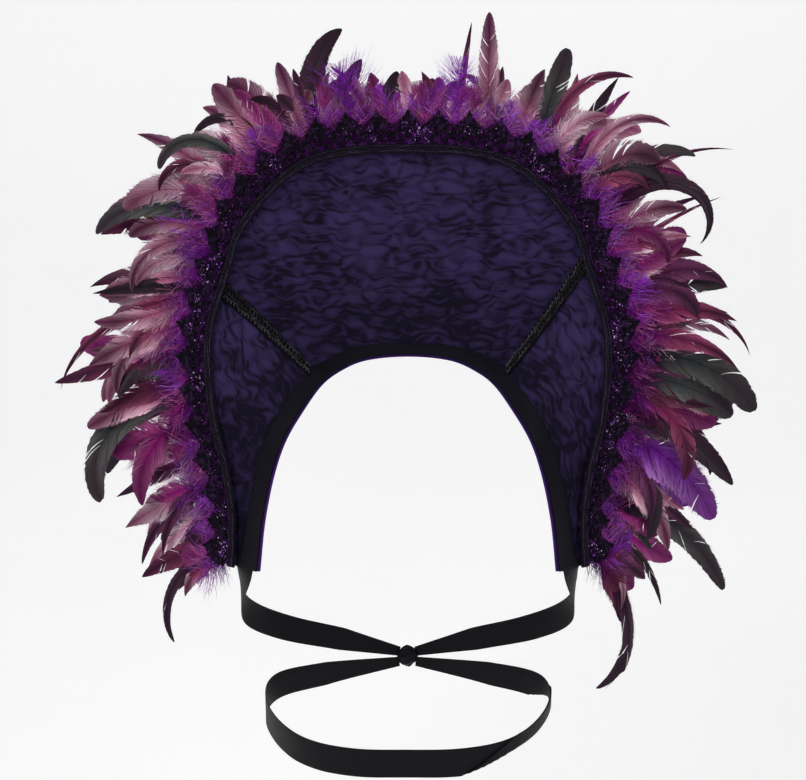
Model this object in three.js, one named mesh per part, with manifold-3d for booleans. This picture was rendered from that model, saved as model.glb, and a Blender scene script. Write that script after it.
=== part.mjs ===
// Stand-up fan collar: three satin and lace panels with a dark neck binding, braided seams and rim,
// pointed lace edging, a fringe of feathers, and ribbon ties that meet in a knot behind the ribs.
// Millimetres, +Z up, the wearer faces -Y. The origin is the centre of the neck, where the collar sits.
import * as THREE from 'three';
import { mergeVertices } from 'three/addons/utils/BufferGeometryUtils.js';
import Module from 'manifold-3d';

const wasm = await Module();
wasm.setup();

// Cloth and trim sizes
const GAP = 0.6; // clearance between sewn layers, which are faceted differently
const PANEL_THICKNESS = 2; // satin, stiffening and lace overlay together
const PANEL_BOW = { depth: 7, span: 205 }; // the fan bellies backwards this far over a rib of this span
const RIM_MARGIN = 16; // cloth beyond the rim line, under the lace edging
const BINDING_THICKNESS = 1;
const BINDING_INSET = 2; // strip of panel that shows inside the binding
const BINDING_WIDTH = { nape: 11, corner: 23 };
const BRAID_THICKNESS = 2;
const SEAM_BRAID_WIDTH = 11;
const RIM_BRAID_WIDTH = 8;

// Lace edging sizes, measured outwards from the rim line
const LACE = { thickness: 1, inner: -5, valley: 25, shoulder: 32, point: 38, scallops: 37 };
const LACE_HOLES = [
  { across: 0.5, out: 23, long: 16, wide: 9 },
  { across: 0.25, out: 7, long: 13, wide: 9 },
  { across: 0.75, out: 7, long: 13, wide: 9 },
];

// Feather fringe sizes
const TAPE = { inner: 4, outer: 15, thickness: 1.6, steps: 44 };
const BLADE = { thickness: 0.6, steps: 5, lift: 1 };
const RISE_START = 0.4; // share of a feather that lies flat under the lace
const CURL_POWER = 1.8; // a feather bends more and more towards its tip
const FILLER = { count: 34, reach: 66, breadth: 27, spread: 16, steps: 4, lift: 0.5 };

// Ribbon sizes
const RIBBON_THICKNESS = 1;
const KNOT = { x: 0, y: 121, z: -322, halfWidth: 13, halfDepth: 8, halfHeight: 12 };

// Ribs of the fan on one side, centre back to front corner. The other side mirrors them.
const RIBS = [
  { rib: 'centre_back', neck: [0, 76, 6], rim: [0, 138, 202] },
  { rib: 'nape', neck: [42, 66, 4], rim: [101, 118, 191] },
  { rib: 'crown', neck: [66, 45, -2], rim: [163, 84, 133] },
  { rib: 'seam', neck: [82, 18, -9], rim: [176, 64, 92] },
  { rib: 'shoulder', neck: [98, -8, -26], rim: [191, 34, 34] },
  { rib: 'collarbone', neck: [115, -34, -50], rim: [184, 4, -34] },
  { rib: 'chest', neck: [125, -45, -76], rim: [170, -14, -84] },
  { rib: 'ribcage', neck: [135, -52, -122], rim: [163, -26, -128] },
  { rib: 'corner', neck: [141, -46, -176], rim: [166, -30, -175] },
];
const LAST_RIB = RIBS.length - 1;

// Seams between the panels, as rib positions at the neck and at the rim
const SEAMS = {
  left: { neck: -3, rim: -3.25 },
  right: { neck: 3, rim: 2.75 },
};

// Ribbon routes on one side, from the sewn end and from the front round to the knot. facing is the way
// the ribbon's outer face looks, in degrees round from +X in plan.
const TIE_ROUTE = [
  { place: 'sewn_end', x: 152.6, y: -33, z: -157, width: 20, facing: -57 },
  { place: 'below_corner', x: 156.6, y: -29, z: -182, width: 22, facing: -45 },
  { place: 'under_arm', x: 162, y: 2, z: -215, width: 24, facing: -5 },
  { place: 'side', x: 157, y: 46, z: -249, width: 26, facing: 18 },
  { place: 'shoulder_blade', x: 124, y: 90, z: -280, width: 26, facing: 48 },
  { place: 'back', x: 68, y: 114, z: -301, width: 24, facing: 72 },
  { place: 'knot', x: 11.6, y: 121, z: -315, width: 10, facing: 88 },
];
const WAIST_ROUTE = [
  { place: 'front', x: 0, y: -106, z: -345, width: 28, facing: -90 },
  { place: 'front_side', x: 52, y: -98, z: -347, width: 28, facing: -68 },
  { place: 'front_turn', x: 95, y: -73, z: -348, width: 28, facing: -45 },
  { place: 'side_front', x: 125, y: -32, z: -345, width: 28, facing: -22 },
  { place: 'side', x: 141, y: 20, z: -338, width: 28, facing: 0 },
  { place: 'side_back', x: 132, y: 68, z: -335, width: 28, facing: 30 },
  { place: 'back', x: 84, y: 104, z: -335, width: 25, facing: 64 },
  { place: 'knot', x: 12.3, y: 121, z: -330, width: 10, facing: 86 },
];

// Feathers that stand out of the fringe. along runs down the rim line from centre back, left negative.
// lean turns the quill from the rib's direction, curl bends it on the way to the tip, both clockwise
// from the front in degrees, and lift swings the tip forwards.
const FEATHER_COLUMNS = ['along', 'reach', 'breadth', 'lean', 'curl', 'lift', 'plume'];
const FEATHER_ROWS = [
  [-526, 46, 30, -40, -10, 0, 'lilac'],
  [-524, 126, 9, -8, -125, 6, 'black'],
  [-514, 118, 22, -15, -25, 10, 'burgundy'],
  [-465, 146, 16, -4, -80, 14, 'plum'],
  [-452, 64, 32, -8, 0, -8, 'violet'],
  [-412, 108, 34, -12, -8, 8, 'magenta'],
  [-368, 126, 12, -40, -15, -14, 'green'],
  [-362, 176, 24, -35, -105, 14, 'green'],
  [-326, 148, 20, -46, -6, 4, 'burgundy'],
  [-300, 122, 28, -56, -18, -10, 'dusty'],
  [-280, 185, 10, -52, -75, 14, 'burgundy'],
  [-270, 114, 14, -60, -10, -16, 'burgundy'],
  [-262, 120, 14, -52, -8, 6, 'black'],
  [-235, 64, 28, -12, 0, 12, 'violet'],
  [-222, 125, 16, -45, -110, -6, 'dusty'],
  [-205, 148, 22, -32, -82, 8, 'green'],
  [-178, 118, 12, -8, -140, 12, 'burgundy'],
  [-165, 134, 12, 0, -150, -8, 'green'],
  [-145, 122, 10, 12, -165, -14, 'black'],
  [-132, 106, 28, -16, -8, 6, 'dusty'],
  [-102, 94, 18, 2, -10, -12, 'dusty'],
  [-90, 82, 14, -2, -6, 4, 'plum'],
  [-85, 128, 20, 0, 62, 8, 'black'],
  [-78, 96, 10, 20, -10, -8, 'black'],
  [-52, 76, 40, -3, 0, 8, 'violet'],
  [-30, 90, 7, -15, -40, -14, 'burgundy'],
  [-25, 68, 18, 14, 4, 4, 'black'],
  [18, 62, 26, 0, 10, -8, 'plum'],
  [46, 120, 7, 1, 2, -10, 'burgundy'],
  [50, 80, 20, -8, 4, 10, 'violet'],
  [78, 132, 18, -10, 0, 2, 'dusty'],
  [105, 74, 30, 0, 6, -10, 'dusty'],
  [125, 120, 22, -3, 6, 8, 'green'],
  [135, 150, 12, -10, 100, -10, 'burgundy'],
  [165, 128, 16, -8, 25, 12, 'black'],
  [188, 152, 14, -24, 120, -6, 'dusty'],
  [205, 172, 7, 9, 56, -12, 'burgundy'],
  [220, 156, 16, -22, 110, 10, 'green'],
  [240, 206, 12, -22, 170, 4, 'black'],
  [250, 142, 6, 20, 12, -12, 'burgundy'],
  [268, 94, 24, 15, 6, 10, 'magenta'],
  [290, 134, 30, -2, 100, 8, 'plum'],
  [305, 157, 12, 18, 97, -8, 'burgundy'],
  [318, 130, 20, 30, 60, 12, 'burgundy'],
  [330, 157, 32, 34, 66, 4, 'green'],
  [348, 132, 26, 38, 30, -12, 'green'],
  [372, 112, 26, 35, 5, 10, 'magenta'],
  [388, 152, 22, 30, 45, -6, 'black'],
  [410, 138, 38, 36, 6, 8, 'violet'],
  [440, 150, 14, 22, 12, -12, 'plum'],
  [468, 204, 20, 6, 50, 6, 'green'],
  [500, 140, 9, 14, 75, 10, 'black'],
  [508, 86, 32, 40, 6, -6, 'magenta'],
  [526, 152, 14, 55, 105, 4, 'black'],
];
const FEATHERS = FEATHER_ROWS.map((row) =>
  Object.fromEntries(FEATHER_COLUMNS.map((column, i) => [column, row[i]])),
);

// The fan surface

function fanEdge(edge) {
  const right = RIBS.map((rib) => new THREE.Vector3(...rib[edge]));
  const left = right.slice(1).reverse().map((p) => new THREE.Vector3(-p.x, p.y, p.z));
  const curve = new THREE.CatmullRomCurve3([...left, ...right], false, 'centripetal');
  curve.arcLengthDivisions = 400;
  return curve;
}

const neckLine = fanEdge('neck');
const rimLine = fanEdge('rim');
const RIM_LENGTH = rimLine.getLength();

// Rib position s runs from -LAST_RIB at the left corner, through 0 at centre back, to LAST_RIB.
const curveParameter = (s) => (s + LAST_RIB) / (2 * LAST_RIB);

function ribAt(along) {
  const fraction = THREE.MathUtils.clamp(along / RIM_LENGTH + 0.5, 0, 1);
  return rimLine.getUtoTmapping(fraction) * 2 * LAST_RIB - LAST_RIB;
}

function ribLength(s) {
  const t = curveParameter(s);
  return neckLine.getPoint(t).distanceTo(rimLine.getPoint(t));
}

// Straight-ruled point at distance out from the rim line, negative towards the neck
function ruledPoint(s, out) {
  const t = curveParameter(s);
  const neck = neckLine.getPoint(t);
  const rim = rimLine.getPoint(t);
  return neck.lerp(rim, 1 + out / neck.distanceTo(rim));
}

function surfaceFrame(surface, s, out) {
  const step = 0.01;
  const before = Math.max(s - step, -LAST_RIB);
  const after = Math.min(s + step, LAST_RIB);
  const along = surface(after, out).sub(surface(before, out)).divideScalar(after - before);
  const outward = surface(s, out + step).sub(surface(s, out - step)).normalize();
  const front = along.clone().cross(outward).normalize();
  return { speed: along.length(), outward, front };
}

function fanPoint(s, out) {
  const fromNeck = ribLength(s) + out;
  const bow = (-4 * PANEL_BOW.depth * fromNeck * out) / PANEL_BOW.span ** 2;
  return ruledPoint(s, out).addScaledVector(surfaceFrame(ruledPoint, s, out).front, -bow);
}

// Point above the front face of the panels
function onFan(s, out, lift) {
  return fanPoint(s, out).addScaledVector(surfaceFrame(fanPoint, s, out).front, lift);
}

// Rib position moved sideways by a distance on the surface
function sideStep(s, out, distance) {
  const moved = s + distance / surfaceFrame(ruledPoint, s, out).speed;
  return THREE.MathUtils.clamp(moved, -LAST_RIB, LAST_RIB);
}

// Solids

function closedGeometry(geometry) {
  geometry.deleteAttribute('normal');
  geometry.deleteAttribute('uv');
  return mergeVertices(geometry, 1e-4);
}

// A slab of unit size bent by a function of its long, wide and thick fractions
function bentSlab(longSteps, wideSteps, place) {
  const geometry = new THREE.BoxGeometry(1, 1, 1, longSteps, wideSteps, 1);
  const position = geometry.getAttribute('position');
  for (let i = 0; i < position.count; i++) {
    const point = place(position.getX(i) + 0.5, position.getY(i) + 0.5, position.getZ(i) + 0.5);
    position.setXYZ(i, point.x, point.y, point.z);
  }
  matchDiagonals(geometry);
  return closedGeometry(geometry);
}

// Gives the slab's two broad faces the same diagonals, so that it keeps its thickness where it twists
function matchDiagonals(slab) {
  const { start, count } = slab.groups.at(-1);
  const corners = slab.index.array;
  for (let i = start; i < start + count; i += 6) {
    const [a, b, d, , c] = corners.slice(i, i + 6);
    corners.set([a, b, c, a, c, d], i);
  }
}

function solidOf(geometry) {
  const vertProperties = new Float32Array(geometry.getAttribute('position').array);
  const triVerts = new Uint32Array(geometry.index.array);
  return new wasm.Manifold(new wasm.Mesh({ numProp: 3, vertProperties, triVerts }));
}

function geometryOf(solid) {
  const mesh = solid.getMesh();
  const geometry = new THREE.BufferGeometry();
  geometry.setAttribute('position', new THREE.BufferAttribute(mesh.vertProperties, 3));
  geometry.setIndex(new THREE.BufferAttribute(mesh.triVerts, 1));
  return geometry;
}

const mix = THREE.MathUtils.lerp;

// Panels

function seamRib(seam, across) {
  return mix(seam.neck, seam.rim, across);
}

function panelGeometry(longSteps, leftEdge, rightEdge) {
  const wideSteps = 5;
  return bentSlab(longSteps, wideSteps, (u, v, w) => {
    const s = mix(leftEdge(v), rightEdge(v), u);
    const out = mix(-ribLength(s), RIM_MARGIN, v);
    return onFan(s, out, mix(-PANEL_THICKNESS, 0, w));
  });
}

function besideSeam(seam, side) {
  return (across) => {
    const s = seamRib(seam, across);
    return sideStep(s, mix(-ribLength(s), RIM_MARGIN, across), side * GAP);
  };
}

function backPanel() {
  return panelGeometry(36, besideSeam(SEAMS.left, 0.5), besideSeam(SEAMS.right, -0.5));
}

function leftPanel() {
  return panelGeometry(15, () => -LAST_RIB, besideSeam(SEAMS.left, -0.5));
}

function rightPanel() {
  return panelGeometry(15, besideSeam(SEAMS.right, 0.5), () => LAST_RIB);
}

// Binding and braids

function bindingWidth(s) {
  return mix(BINDING_WIDTH.nape, BINDING_WIDTH.corner, Math.abs(s) / LAST_RIB);
}

function neckBinding() {
  return bentSlab(48, 1, (u, v, w) => {
    const s = mix(-LAST_RIB, LAST_RIB, u);
    const fromNeck = mix(BINDING_INSET, BINDING_INSET + bindingWidth(s), v);
    return onFan(s, fromNeck - ribLength(s), mix(GAP, GAP + BINDING_THICKNESS, w));
  });
}

function seamBraid(seam) {
  const rimEnd = -RIM_BRAID_WIDTH / 2 - GAP;
  return bentSlab(14, 1, (u, v, w) => {
    const middle = seamRib(seam, u);
    const side = mix(SEAM_BRAID_WIDTH / 2, -SEAM_BRAID_WIDTH / 2, v);
    const s = sideStep(middle, mix(-ribLength(middle), rimEnd, u), side);
    const neckEnd = BINDING_INSET + bindingWidth(s) + 2 * GAP - ribLength(s);
    return onFan(s, mix(neckEnd, rimEnd, u), mix(GAP, GAP + BRAID_THICKNESS, w));
  });
}

const LACE_LIFT = GAP + TAPE.thickness + 2 * GAP;
const RIM_BRAID_LIFT = LACE_LIFT + LACE.thickness + GAP;

function rimBraid() {
  return bentSlab(64, 1, (u, v, w) => {
    const s = ribAt((u - 0.5) * RIM_LENGTH);
    const out = mix(-RIM_BRAID_WIDTH / 2, RIM_BRAID_WIDTH / 2, v);
    return onFan(s, out, mix(RIM_BRAID_LIFT, RIM_BRAID_LIFT + BRAID_THICKNESS, w));
  });
}

// Lace edging

const SCALLOP_LENGTH = RIM_LENGTH / LACE.scallops;

// One flat repeat of the lace, a unit wide, with its leaf-shaped holes
function laceRepeat() {
  const outline = new THREE.Shape();
  outline.moveTo(0, LACE.inner).lineTo(1, LACE.inner).lineTo(1, LACE.valley);
  outline.lineTo(0.8, LACE.shoulder).lineTo(0.5, LACE.point).lineTo(0.2, LACE.shoulder).lineTo(0, LACE.valley);
  for (const { across, out, long, wide } of LACE_HOLES) {
    const half = wide / 2 / SCALLOP_LENGTH;
    const hole = new THREE.Path();
    hole.moveTo(across, out - long / 2).lineTo(across - half, out);
    hole.lineTo(across, out + long / 2).lineTo(across + half, out);
    outline.holes.push(hole);
  }
  return new THREE.ExtrudeGeometry(outline, { depth: LACE.thickness, bevelEnabled: false });
}

// The repeats side by side on the fan, without the walls where one meets the next
function laceEdging() {
  const repeat = laceRepeat().getAttribute('position');
  const lastScallop = LACE.scallops - 1;
  const corners = [];
  for (let scallop = 0; scallop <= lastScallop; scallop++) {
    for (let i = 0; i < repeat.count; i += 3) {
      const triangle = [i, i + 1, i + 2].map((k) => new THREE.Vector3().fromBufferAttribute(repeat, k));
      const startWall = triangle.every(({ x }) => x === 0);
      const endWall = triangle.every(({ x }) => x === 1);
      if ((startWall && scallop > 0) || (endWall && scallop < lastScallop)) continue;
      for (const { x, y, z } of triangle) {
        const s = ribAt((scallop + x) * SCALLOP_LENGTH - RIM_LENGTH / 2);
        corners.push(...onFan(s, y, LACE_LIFT + z));
      }
    }
  }
  const lace = new THREE.BufferGeometry();
  lace.setAttribute('position', new THREE.Float32BufferAttribute(corners, 3));
  return mergeVertices(lace, 1e-4);
}

// Feather fringe

function fringeTape() {
  return bentSlab(TAPE.steps, 1, (u, v, w) => {
    const s = ribAt((u - 0.5) * RIM_LENGTH);
    return onFan(s, mix(TAPE.inner, TAPE.outer, v), mix(GAP, GAP + TAPE.thickness, w));
  });
}

// Quill points with their side and facing directions, from the tape to the tip
function quill(feather, layer) {
  const s = ribAt(feather.along);
  const rootOut = (TAPE.inner + TAPE.outer) / 2;
  const { outward, front } = surfaceFrame(fanPoint, s, rootOut);
  const right = outward.clone().cross(front);
  const point = onFan(s, rootOut, GAP + layer.lift);
  const stations = [];
  for (let i = 0; i <= layer.steps; i++) {
    const t = (i + 0.5) / layer.steps;
    const turn = THREE.MathUtils.degToRad(feather.lean + feather.curl * t ** CURL_POWER);
    const rise = THREE.MathUtils.degToRad(feather.lift * THREE.MathUtils.smoothstep(t, RISE_START, 1));
    const heading = outward.clone().multiplyScalar(Math.cos(turn)).addScaledVector(right, Math.sin(turn));
    const side = outward.clone().multiplyScalar(-Math.sin(turn)).addScaledVector(right, Math.cos(turn));
    heading.multiplyScalar(Math.cos(rise)).addScaledVector(front, Math.sin(rise));
    stations.push({ point: point.clone(), side, facing: heading.clone().cross(side) });
    point.addScaledVector(heading, feather.reach / layer.steps);
  }
  return stations;
}

// A ball drawn out along the quill and flattened to a thin blade
function blade(feather, layer) {
  const stations = quill(feather, layer);
  const ball = new THREE.SphereGeometry(1, 4, layer.steps);
  const position = ball.getAttribute('position');
  for (let i = 0; i < position.count; i++) {
    const polar = Math.acos(THREE.MathUtils.clamp(position.getY(i), -1, 1));
    const ring = Math.round((polar / Math.PI) * layer.steps);
    const { point, side, facing } = stations[ring];
    const corner = point.clone();
    if (ring > 0 && ring < layer.steps) {
      const belly = Math.sin(Math.PI * (ring / layer.steps) ** 1.2);
      const toRim = 1 / Math.sin(polar);
      corner.addScaledVector(side, (position.getX(i) * toRim * belly * feather.breadth) / 2);
      corner.addScaledVector(facing, (position.getZ(i) * toRim * BLADE.thickness) / 2);
    }
    position.setXYZ(i, corner.x, corner.y, corner.z);
  }
  return solidOf(closedGeometry(ball));
}

// Short plumes behind the standing feathers, which fill the fringe
function fillerFeathers() {
  return Array.from({ length: FILLER.count }, (_, i) => {
    const wave = Math.sin(i * 2.4);
    const cross = Math.cos(i * 3.7);
    return {
      along: ((i + 0.5) / FILLER.count - 0.5) * RIM_LENGTH,
      reach: FILLER.reach * (1 + 0.2 * wave),
      breadth: FILLER.breadth,
      lean: FILLER.spread * cross,
      curl: FILLER.spread * wave,
      lift: -FILLER.spread * (1 + cross),
    };
  });
}

function featherFringe() {
  let fringe = solidOf(fringeTape());
  for (const feather of fillerFeathers()) {
    fringe = fringe.add(blade(feather, FILLER));
  }
  for (const feather of FEATHERS) {
    fringe = fringe.add(blade(feather, BLADE));
  }
  return geometryOf(fringe);
}

// Ribbons

function routeCurve(route) {
  const points = route.map(({ x, y, z }) => new THREE.Vector3(x, y, z));
  return new THREE.CatmullRomCurve3(points, false, 'centripetal');
}

function columnAlong(route, column, t) {
  const place = t * (route.length - 1);
  const from = Math.min(Math.floor(place), route.length - 2);
  return mix(route[from][column], route[from + 1][column], place - from);
}

function ribbon(route, steps) {
  const curve = routeCurve(route);
  return bentSlab(steps, 1, (u, v, w) => {
    const heading = curve.getTangent(u);
    const facing = THREE.MathUtils.degToRad(columnAlong(route, 'facing', u));
    const outward = new THREE.Vector3(Math.cos(facing), Math.sin(facing), 0);
    const breadth = outward.cross(heading).normalize();
    const face = heading.clone().cross(breadth);
    return curve
      .getPoint(u)
      .addScaledVector(breadth, (v - 0.5) * columnAlong(route, 'width', u))
      .addScaledVector(face, (w - 0.5) * RIBBON_THICKNESS);
  });
}

const mirrored = (route) => route.map((row) => ({ ...row, x: -row.x, facing: -180 - row.facing }));

function waistRibbon() {
  const left = mirrored(WAIST_ROUTE.slice(1)).reverse();
  return ribbon([...left, ...WAIST_ROUTE], 72);
}

function backKnot() {
  const knot = new THREE.SphereGeometry(1, 14, 8);
  knot.scale(KNOT.halfWidth, KNOT.halfDepth, KNOT.halfHeight);
  knot.translate(KNOT.x, KNOT.y, KNOT.z);
  return closedGeometry(knot);
}

// Finishes

const FINISHES = {
  satin_lace: { color: 0x3c305a, roughness: 0.55, metalness: 0 },
  dark_satin: { color: 0x121022, roughness: 0.4, metalness: 0 },
  black_braid: { color: 0x0c0b10, roughness: 0.6, metalness: 0 },
  black_lace: { color: 0x0b0910, roughness: 0.65, metalness: 0 },
  feathers: { color: 0x4a1d4c, roughness: 0.6, metalness: 0 },
  ribbon_satin: { color: 0x16161c, roughness: 0.38, metalness: 0 },
};

function piece(name, geometry, finish) {
  geometry.computeVertexNormals();
  const mesh = new THREE.Mesh(geometry, new THREE.MeshStandardMaterial(FINISHES[finish]));
  mesh.name = name;
  return mesh;
}

// Assembly

const fan = new THREE.Group();
fan.add(
  piece('back_panel', backPanel(), 'satin_lace'),
  piece('left_panel', leftPanel(), 'satin_lace'),
  piece('right_panel', rightPanel(), 'satin_lace'),
  piece('neck_binding', neckBinding(), 'dark_satin'),
  piece('left_seam_braid', seamBraid(SEAMS.left), 'black_braid'),
  piece('right_seam_braid', seamBraid(SEAMS.right), 'black_braid'),
  piece('rim_braid', rimBraid(), 'black_braid'),
);

const edging = new THREE.Group();
edging.add(
  piece('lace_edging', laceEdging(), 'black_lace'),
  piece('feather_fringe', featherFringe(), 'feathers'),
);

const ties = new THREE.Group();
ties.add(
  piece('left_tie', ribbon(mirrored(TIE_ROUTE), 30), 'ribbon_satin'),
  piece('right_tie', ribbon(TIE_ROUTE, 30), 'ribbon_satin'),
  piece('waist_ribbon', waistRibbon(), 'ribbon_satin'),
  piece('back_knot', backKnot(), 'ribbon_satin'),
);

const collar = new THREE.Group();
collar.name = 'lace_feather_collar';
collar.add(fan, edging, ties);

export default collar;
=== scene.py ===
"""Looks of a stand-up lace and feather collar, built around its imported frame.

Sizes are in millimetres until a mesh is made, and in metres after that. +Z is up and the wearer faces -Y.
"""

from __future__ import annotations

import logging
import math
from dataclasses import dataclass
from enum import Enum
from typing import Callable, Mapping, Sequence, Union

import bmesh
import bpy
import numpy as np
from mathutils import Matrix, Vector


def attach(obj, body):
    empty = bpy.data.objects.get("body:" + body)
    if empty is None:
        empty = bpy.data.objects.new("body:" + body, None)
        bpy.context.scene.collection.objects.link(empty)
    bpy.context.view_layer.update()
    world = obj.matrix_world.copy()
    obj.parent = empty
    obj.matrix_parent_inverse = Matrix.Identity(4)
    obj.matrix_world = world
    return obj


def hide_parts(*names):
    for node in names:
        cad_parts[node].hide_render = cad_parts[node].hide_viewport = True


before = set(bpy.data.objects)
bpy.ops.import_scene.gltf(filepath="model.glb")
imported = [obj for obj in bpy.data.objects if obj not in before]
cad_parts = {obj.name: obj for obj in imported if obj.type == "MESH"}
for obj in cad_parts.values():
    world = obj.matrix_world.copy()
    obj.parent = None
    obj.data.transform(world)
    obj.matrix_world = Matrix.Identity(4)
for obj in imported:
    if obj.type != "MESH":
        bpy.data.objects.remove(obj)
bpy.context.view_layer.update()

LOG = logging.getLogger("collar")
MM = 0.001
BAKE_MAP = "OFBake"
CLOTH_MAP = "cloth"
LACE_MAP = "lace"
Array = np.ndarray
Colour = tuple[float, float, float]
Point = tuple[float, float, float]
Pair = tuple[float, float]


# Small helpers


def linear(red: float, green: float, blue: float) -> Colour:
    """Turns a colour of 0 to 255 as seen on a screen into linear light.

    Args:
        red: Red share.
        green: Green share.
        blue: Blue share.

    Returns:
        The linear colour.
    """
    shares = np.array([red, green, blue]) / 255.0
    low = shares / 12.92
    high = ((shares + 0.055) / 1.055) ** 2.4
    return tuple(float(x) for x in np.where(shares <= 0.04045, low, high))


def opaque(colour: Colour) -> tuple[float, float, float, float]:
    """Adds a full alpha to a colour."""
    return (*colour, 1.0)


def smooth(low: float, high: float, value: Array) -> Array:
    """Eases from 0 at low to 1 at high."""
    share = np.clip((np.asarray(value, float) - low) / (high - low), 0.0, 1.0)
    return share * share * (3.0 - 2.0 * share)


def mix(first: Array, second: Array, share: Array) -> Array:
    """Blends two values or arrays by a share."""
    return first + (second - first) * share


def unit(vectors: Array) -> Array:
    """Scales vectors to length 1."""
    return vectors / np.maximum(np.linalg.norm(vectors, axis=-1, keepdims=True), 1e-9)


def cloudy(x: Array, y: Array, seed: int) -> Array:
    """Smooth random field from 0 to 1 with features about one unit wide.

    Args:
        x: First coordinate.
        y: Second coordinate.
        seed: Picks the field.

    Returns:
        The field at each place.
    """
    size = 64
    table = np.random.default_rng(seed).random((size, size))
    column = np.floor(x).astype(int)
    row = np.floor(y).astype(int)
    across = smooth(0.0, 1.0, x - column)
    up = smooth(0.0, 1.0, y - row)
    near = mix(table[row % size, column % size], table[row % size, (column + 1) % size], across)
    far = mix(table[(row + 1) % size, column % size], table[(row + 1) % size, (column + 1) % size], across)
    return mix(near, far, up)


# Shaders


class Shade:
    """A value in a shader, whose operators add Math nodes."""

    def __init__(self, sheet: NodeSheet, socket: bpy.types.NodeSocket) -> None:
        """Wraps one output socket of a sheet."""
        self.sheet = sheet
        self.socket = socket

    def maths(self, operation: str, *values: Value) -> Shade:
        """Adds one Math node."""
        return self.sheet.node("ShaderNodeMath", {"operation": operation}, dict(enumerate(values)))

    def __add__(self, other: Value) -> Shade:
        """Adds."""
        return self.maths("ADD", self, other)

    def __radd__(self, other: Value) -> Shade:
        """Adds, reflected."""
        return self.maths("ADD", other, self)

    def __sub__(self, other: Value) -> Shade:
        """Subtracts."""
        return self.maths("SUBTRACT", self, other)

    def __rsub__(self, other: Value) -> Shade:
        """Subtracts, reflected."""
        return self.maths("SUBTRACT", other, self)

    def __mul__(self, other: Value) -> Shade:
        """Multiplies."""
        return self.maths("MULTIPLY", self, other)

    def __rmul__(self, other: Value) -> Shade:
        """Multiplies, reflected."""
        return self.maths("MULTIPLY", other, self)

    def sine(self) -> Shade:
        """Takes the sine."""
        return self.maths("SINE", self)


Value = Union[Shade, float]


class NodeSheet:
    """The nodes of one material."""

    def __init__(self, name: str) -> None:
        """Starts an empty material.

        Args:
            name: The material's name.
        """
        self.material = bpy.data.materials.new(name)
        self.material.use_nodes = True
        self.tree = self.material.node_tree
        self.tree.nodes.clear()

    def node(self, kind: str, settings: Mapping, sockets: Mapping, output: Union[int, str] = 0) -> Shade:
        """Adds a node.

        Args:
            kind: The node's type.
            settings: Its settings, set first.
            sockets: Values or links for its input sockets, by name or number.
            output: The output that is handed on.

        Returns:
            That output.
        """
        made = self.tree.nodes.new(kind)
        for key, value in settings.items():
            setattr(made, key, value)
        for key, value in sockets.items():
            if isinstance(value, Shade):
                self.tree.links.new(value.socket, made.inputs[key])
            else:
                made.inputs[key].default_value = value
        return Shade(self, made.outputs[output])

    def attribute(self, name: str, output: str = "Fac") -> Shade:
        """Reads an attribute of the mesh."""
        return self.node("ShaderNodeAttribute", {"attribute_name": name}, {}, output)

    def blend(self, share: Value, first: Union[Shade, Colour], second: Union[Shade, Colour]) -> Shade:
        """Mixes two colours by a share."""
        ends = [end if isinstance(end, Shade) else opaque(end) for end in (first, second)]
        return self.node("ShaderNodeMix", {"data_type": "RGBA"}, {0: share, 6: ends[0], 7: ends[1]}, 2)

    def noise(self, scale: float, detail: float = 3.0) -> Shade:
        """Adds noise on Object coordinates."""
        place = self.node("ShaderNodeTexCoord", {}, {}, "Object")
        return self.node("ShaderNodeTexNoise", {}, {"Vector": place, "Scale": scale, "Detail": detail})

    def grain(self, place: Shade, scale: float, detail: float, output: Union[int, str] = 0) -> Shade:
        """Adds noise on a flat map."""
        sockets = {"Vector": place, "Scale": scale, "Detail": detail}
        return self.node("ShaderNodeTexNoise", {"noise_dimensions": "2D"}, sockets, output)

    def ways(self, uv_map: str) -> tuple[Shade, Shade]:
        """Reads the two coordinates of a UV map."""
        place = self.node("ShaderNodeUVMap", {"uv_map": uv_map}, {})
        return tuple(self.node("ShaderNodeSeparateXYZ", {}, {0: place}, axis) for axis in range(2))

    def weave(self, pitch: float) -> Shade:
        """Crossing threads on the cloth's map, from -1 to 1, with a pitch in metres."""
        across, along = (way * (2.0 * math.pi / pitch) for way in self.ways(CLOTH_MAP))
        return across.sine() * along.sine()

    def stretch(self, place: Shade, across: float, along: float) -> Shade:
        """Scales a place on a map in its two directions."""
        sockets = {0: place, 1: (across, along, 0.0)}
        return self.node("ShaderNodeVectorMath", {"operation": "MULTIPLY"}, sockets)

    def ease(self, value: Shade, low: float, high: float) -> Shade:
        """Eases from 0 at low to 1 at high."""
        sockets = {"Value": value, "From Min": low, "From Max": high}
        return self.node("ShaderNodeMapRange", {"interpolation_type": "SMOOTHSTEP"}, sockets)

    def bump(self, height: Shade, distance: float, strength: float = 1.0) -> Shade:
        """Bumps the surface by a height."""
        sockets = {"Height": height, "Distance": distance, "Strength": strength}
        return self.node("ShaderNodeBump", {}, sockets)

    def principled(self, sockets: Mapping) -> Shade:
        """Adds the main shader."""
        return self.node("ShaderNodeBsdfPrincipled", {}, sockets)

    def done(self, surface: Shade) -> bpy.types.Material:
        """Joins the surface to the material's output.

        Args:
            surface: The shader's output.

        Returns:
            The finished material.
        """
        output = self.tree.nodes.new("ShaderNodeOutputMaterial")
        self.tree.links.new(surface.socket, output.inputs["Surface"])
        return self.material

    def finished(self, sockets: Mapping) -> bpy.types.Material:
        """Makes the main shader the whole surface of the material."""
        return self.done(self.principled(sockets))


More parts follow.
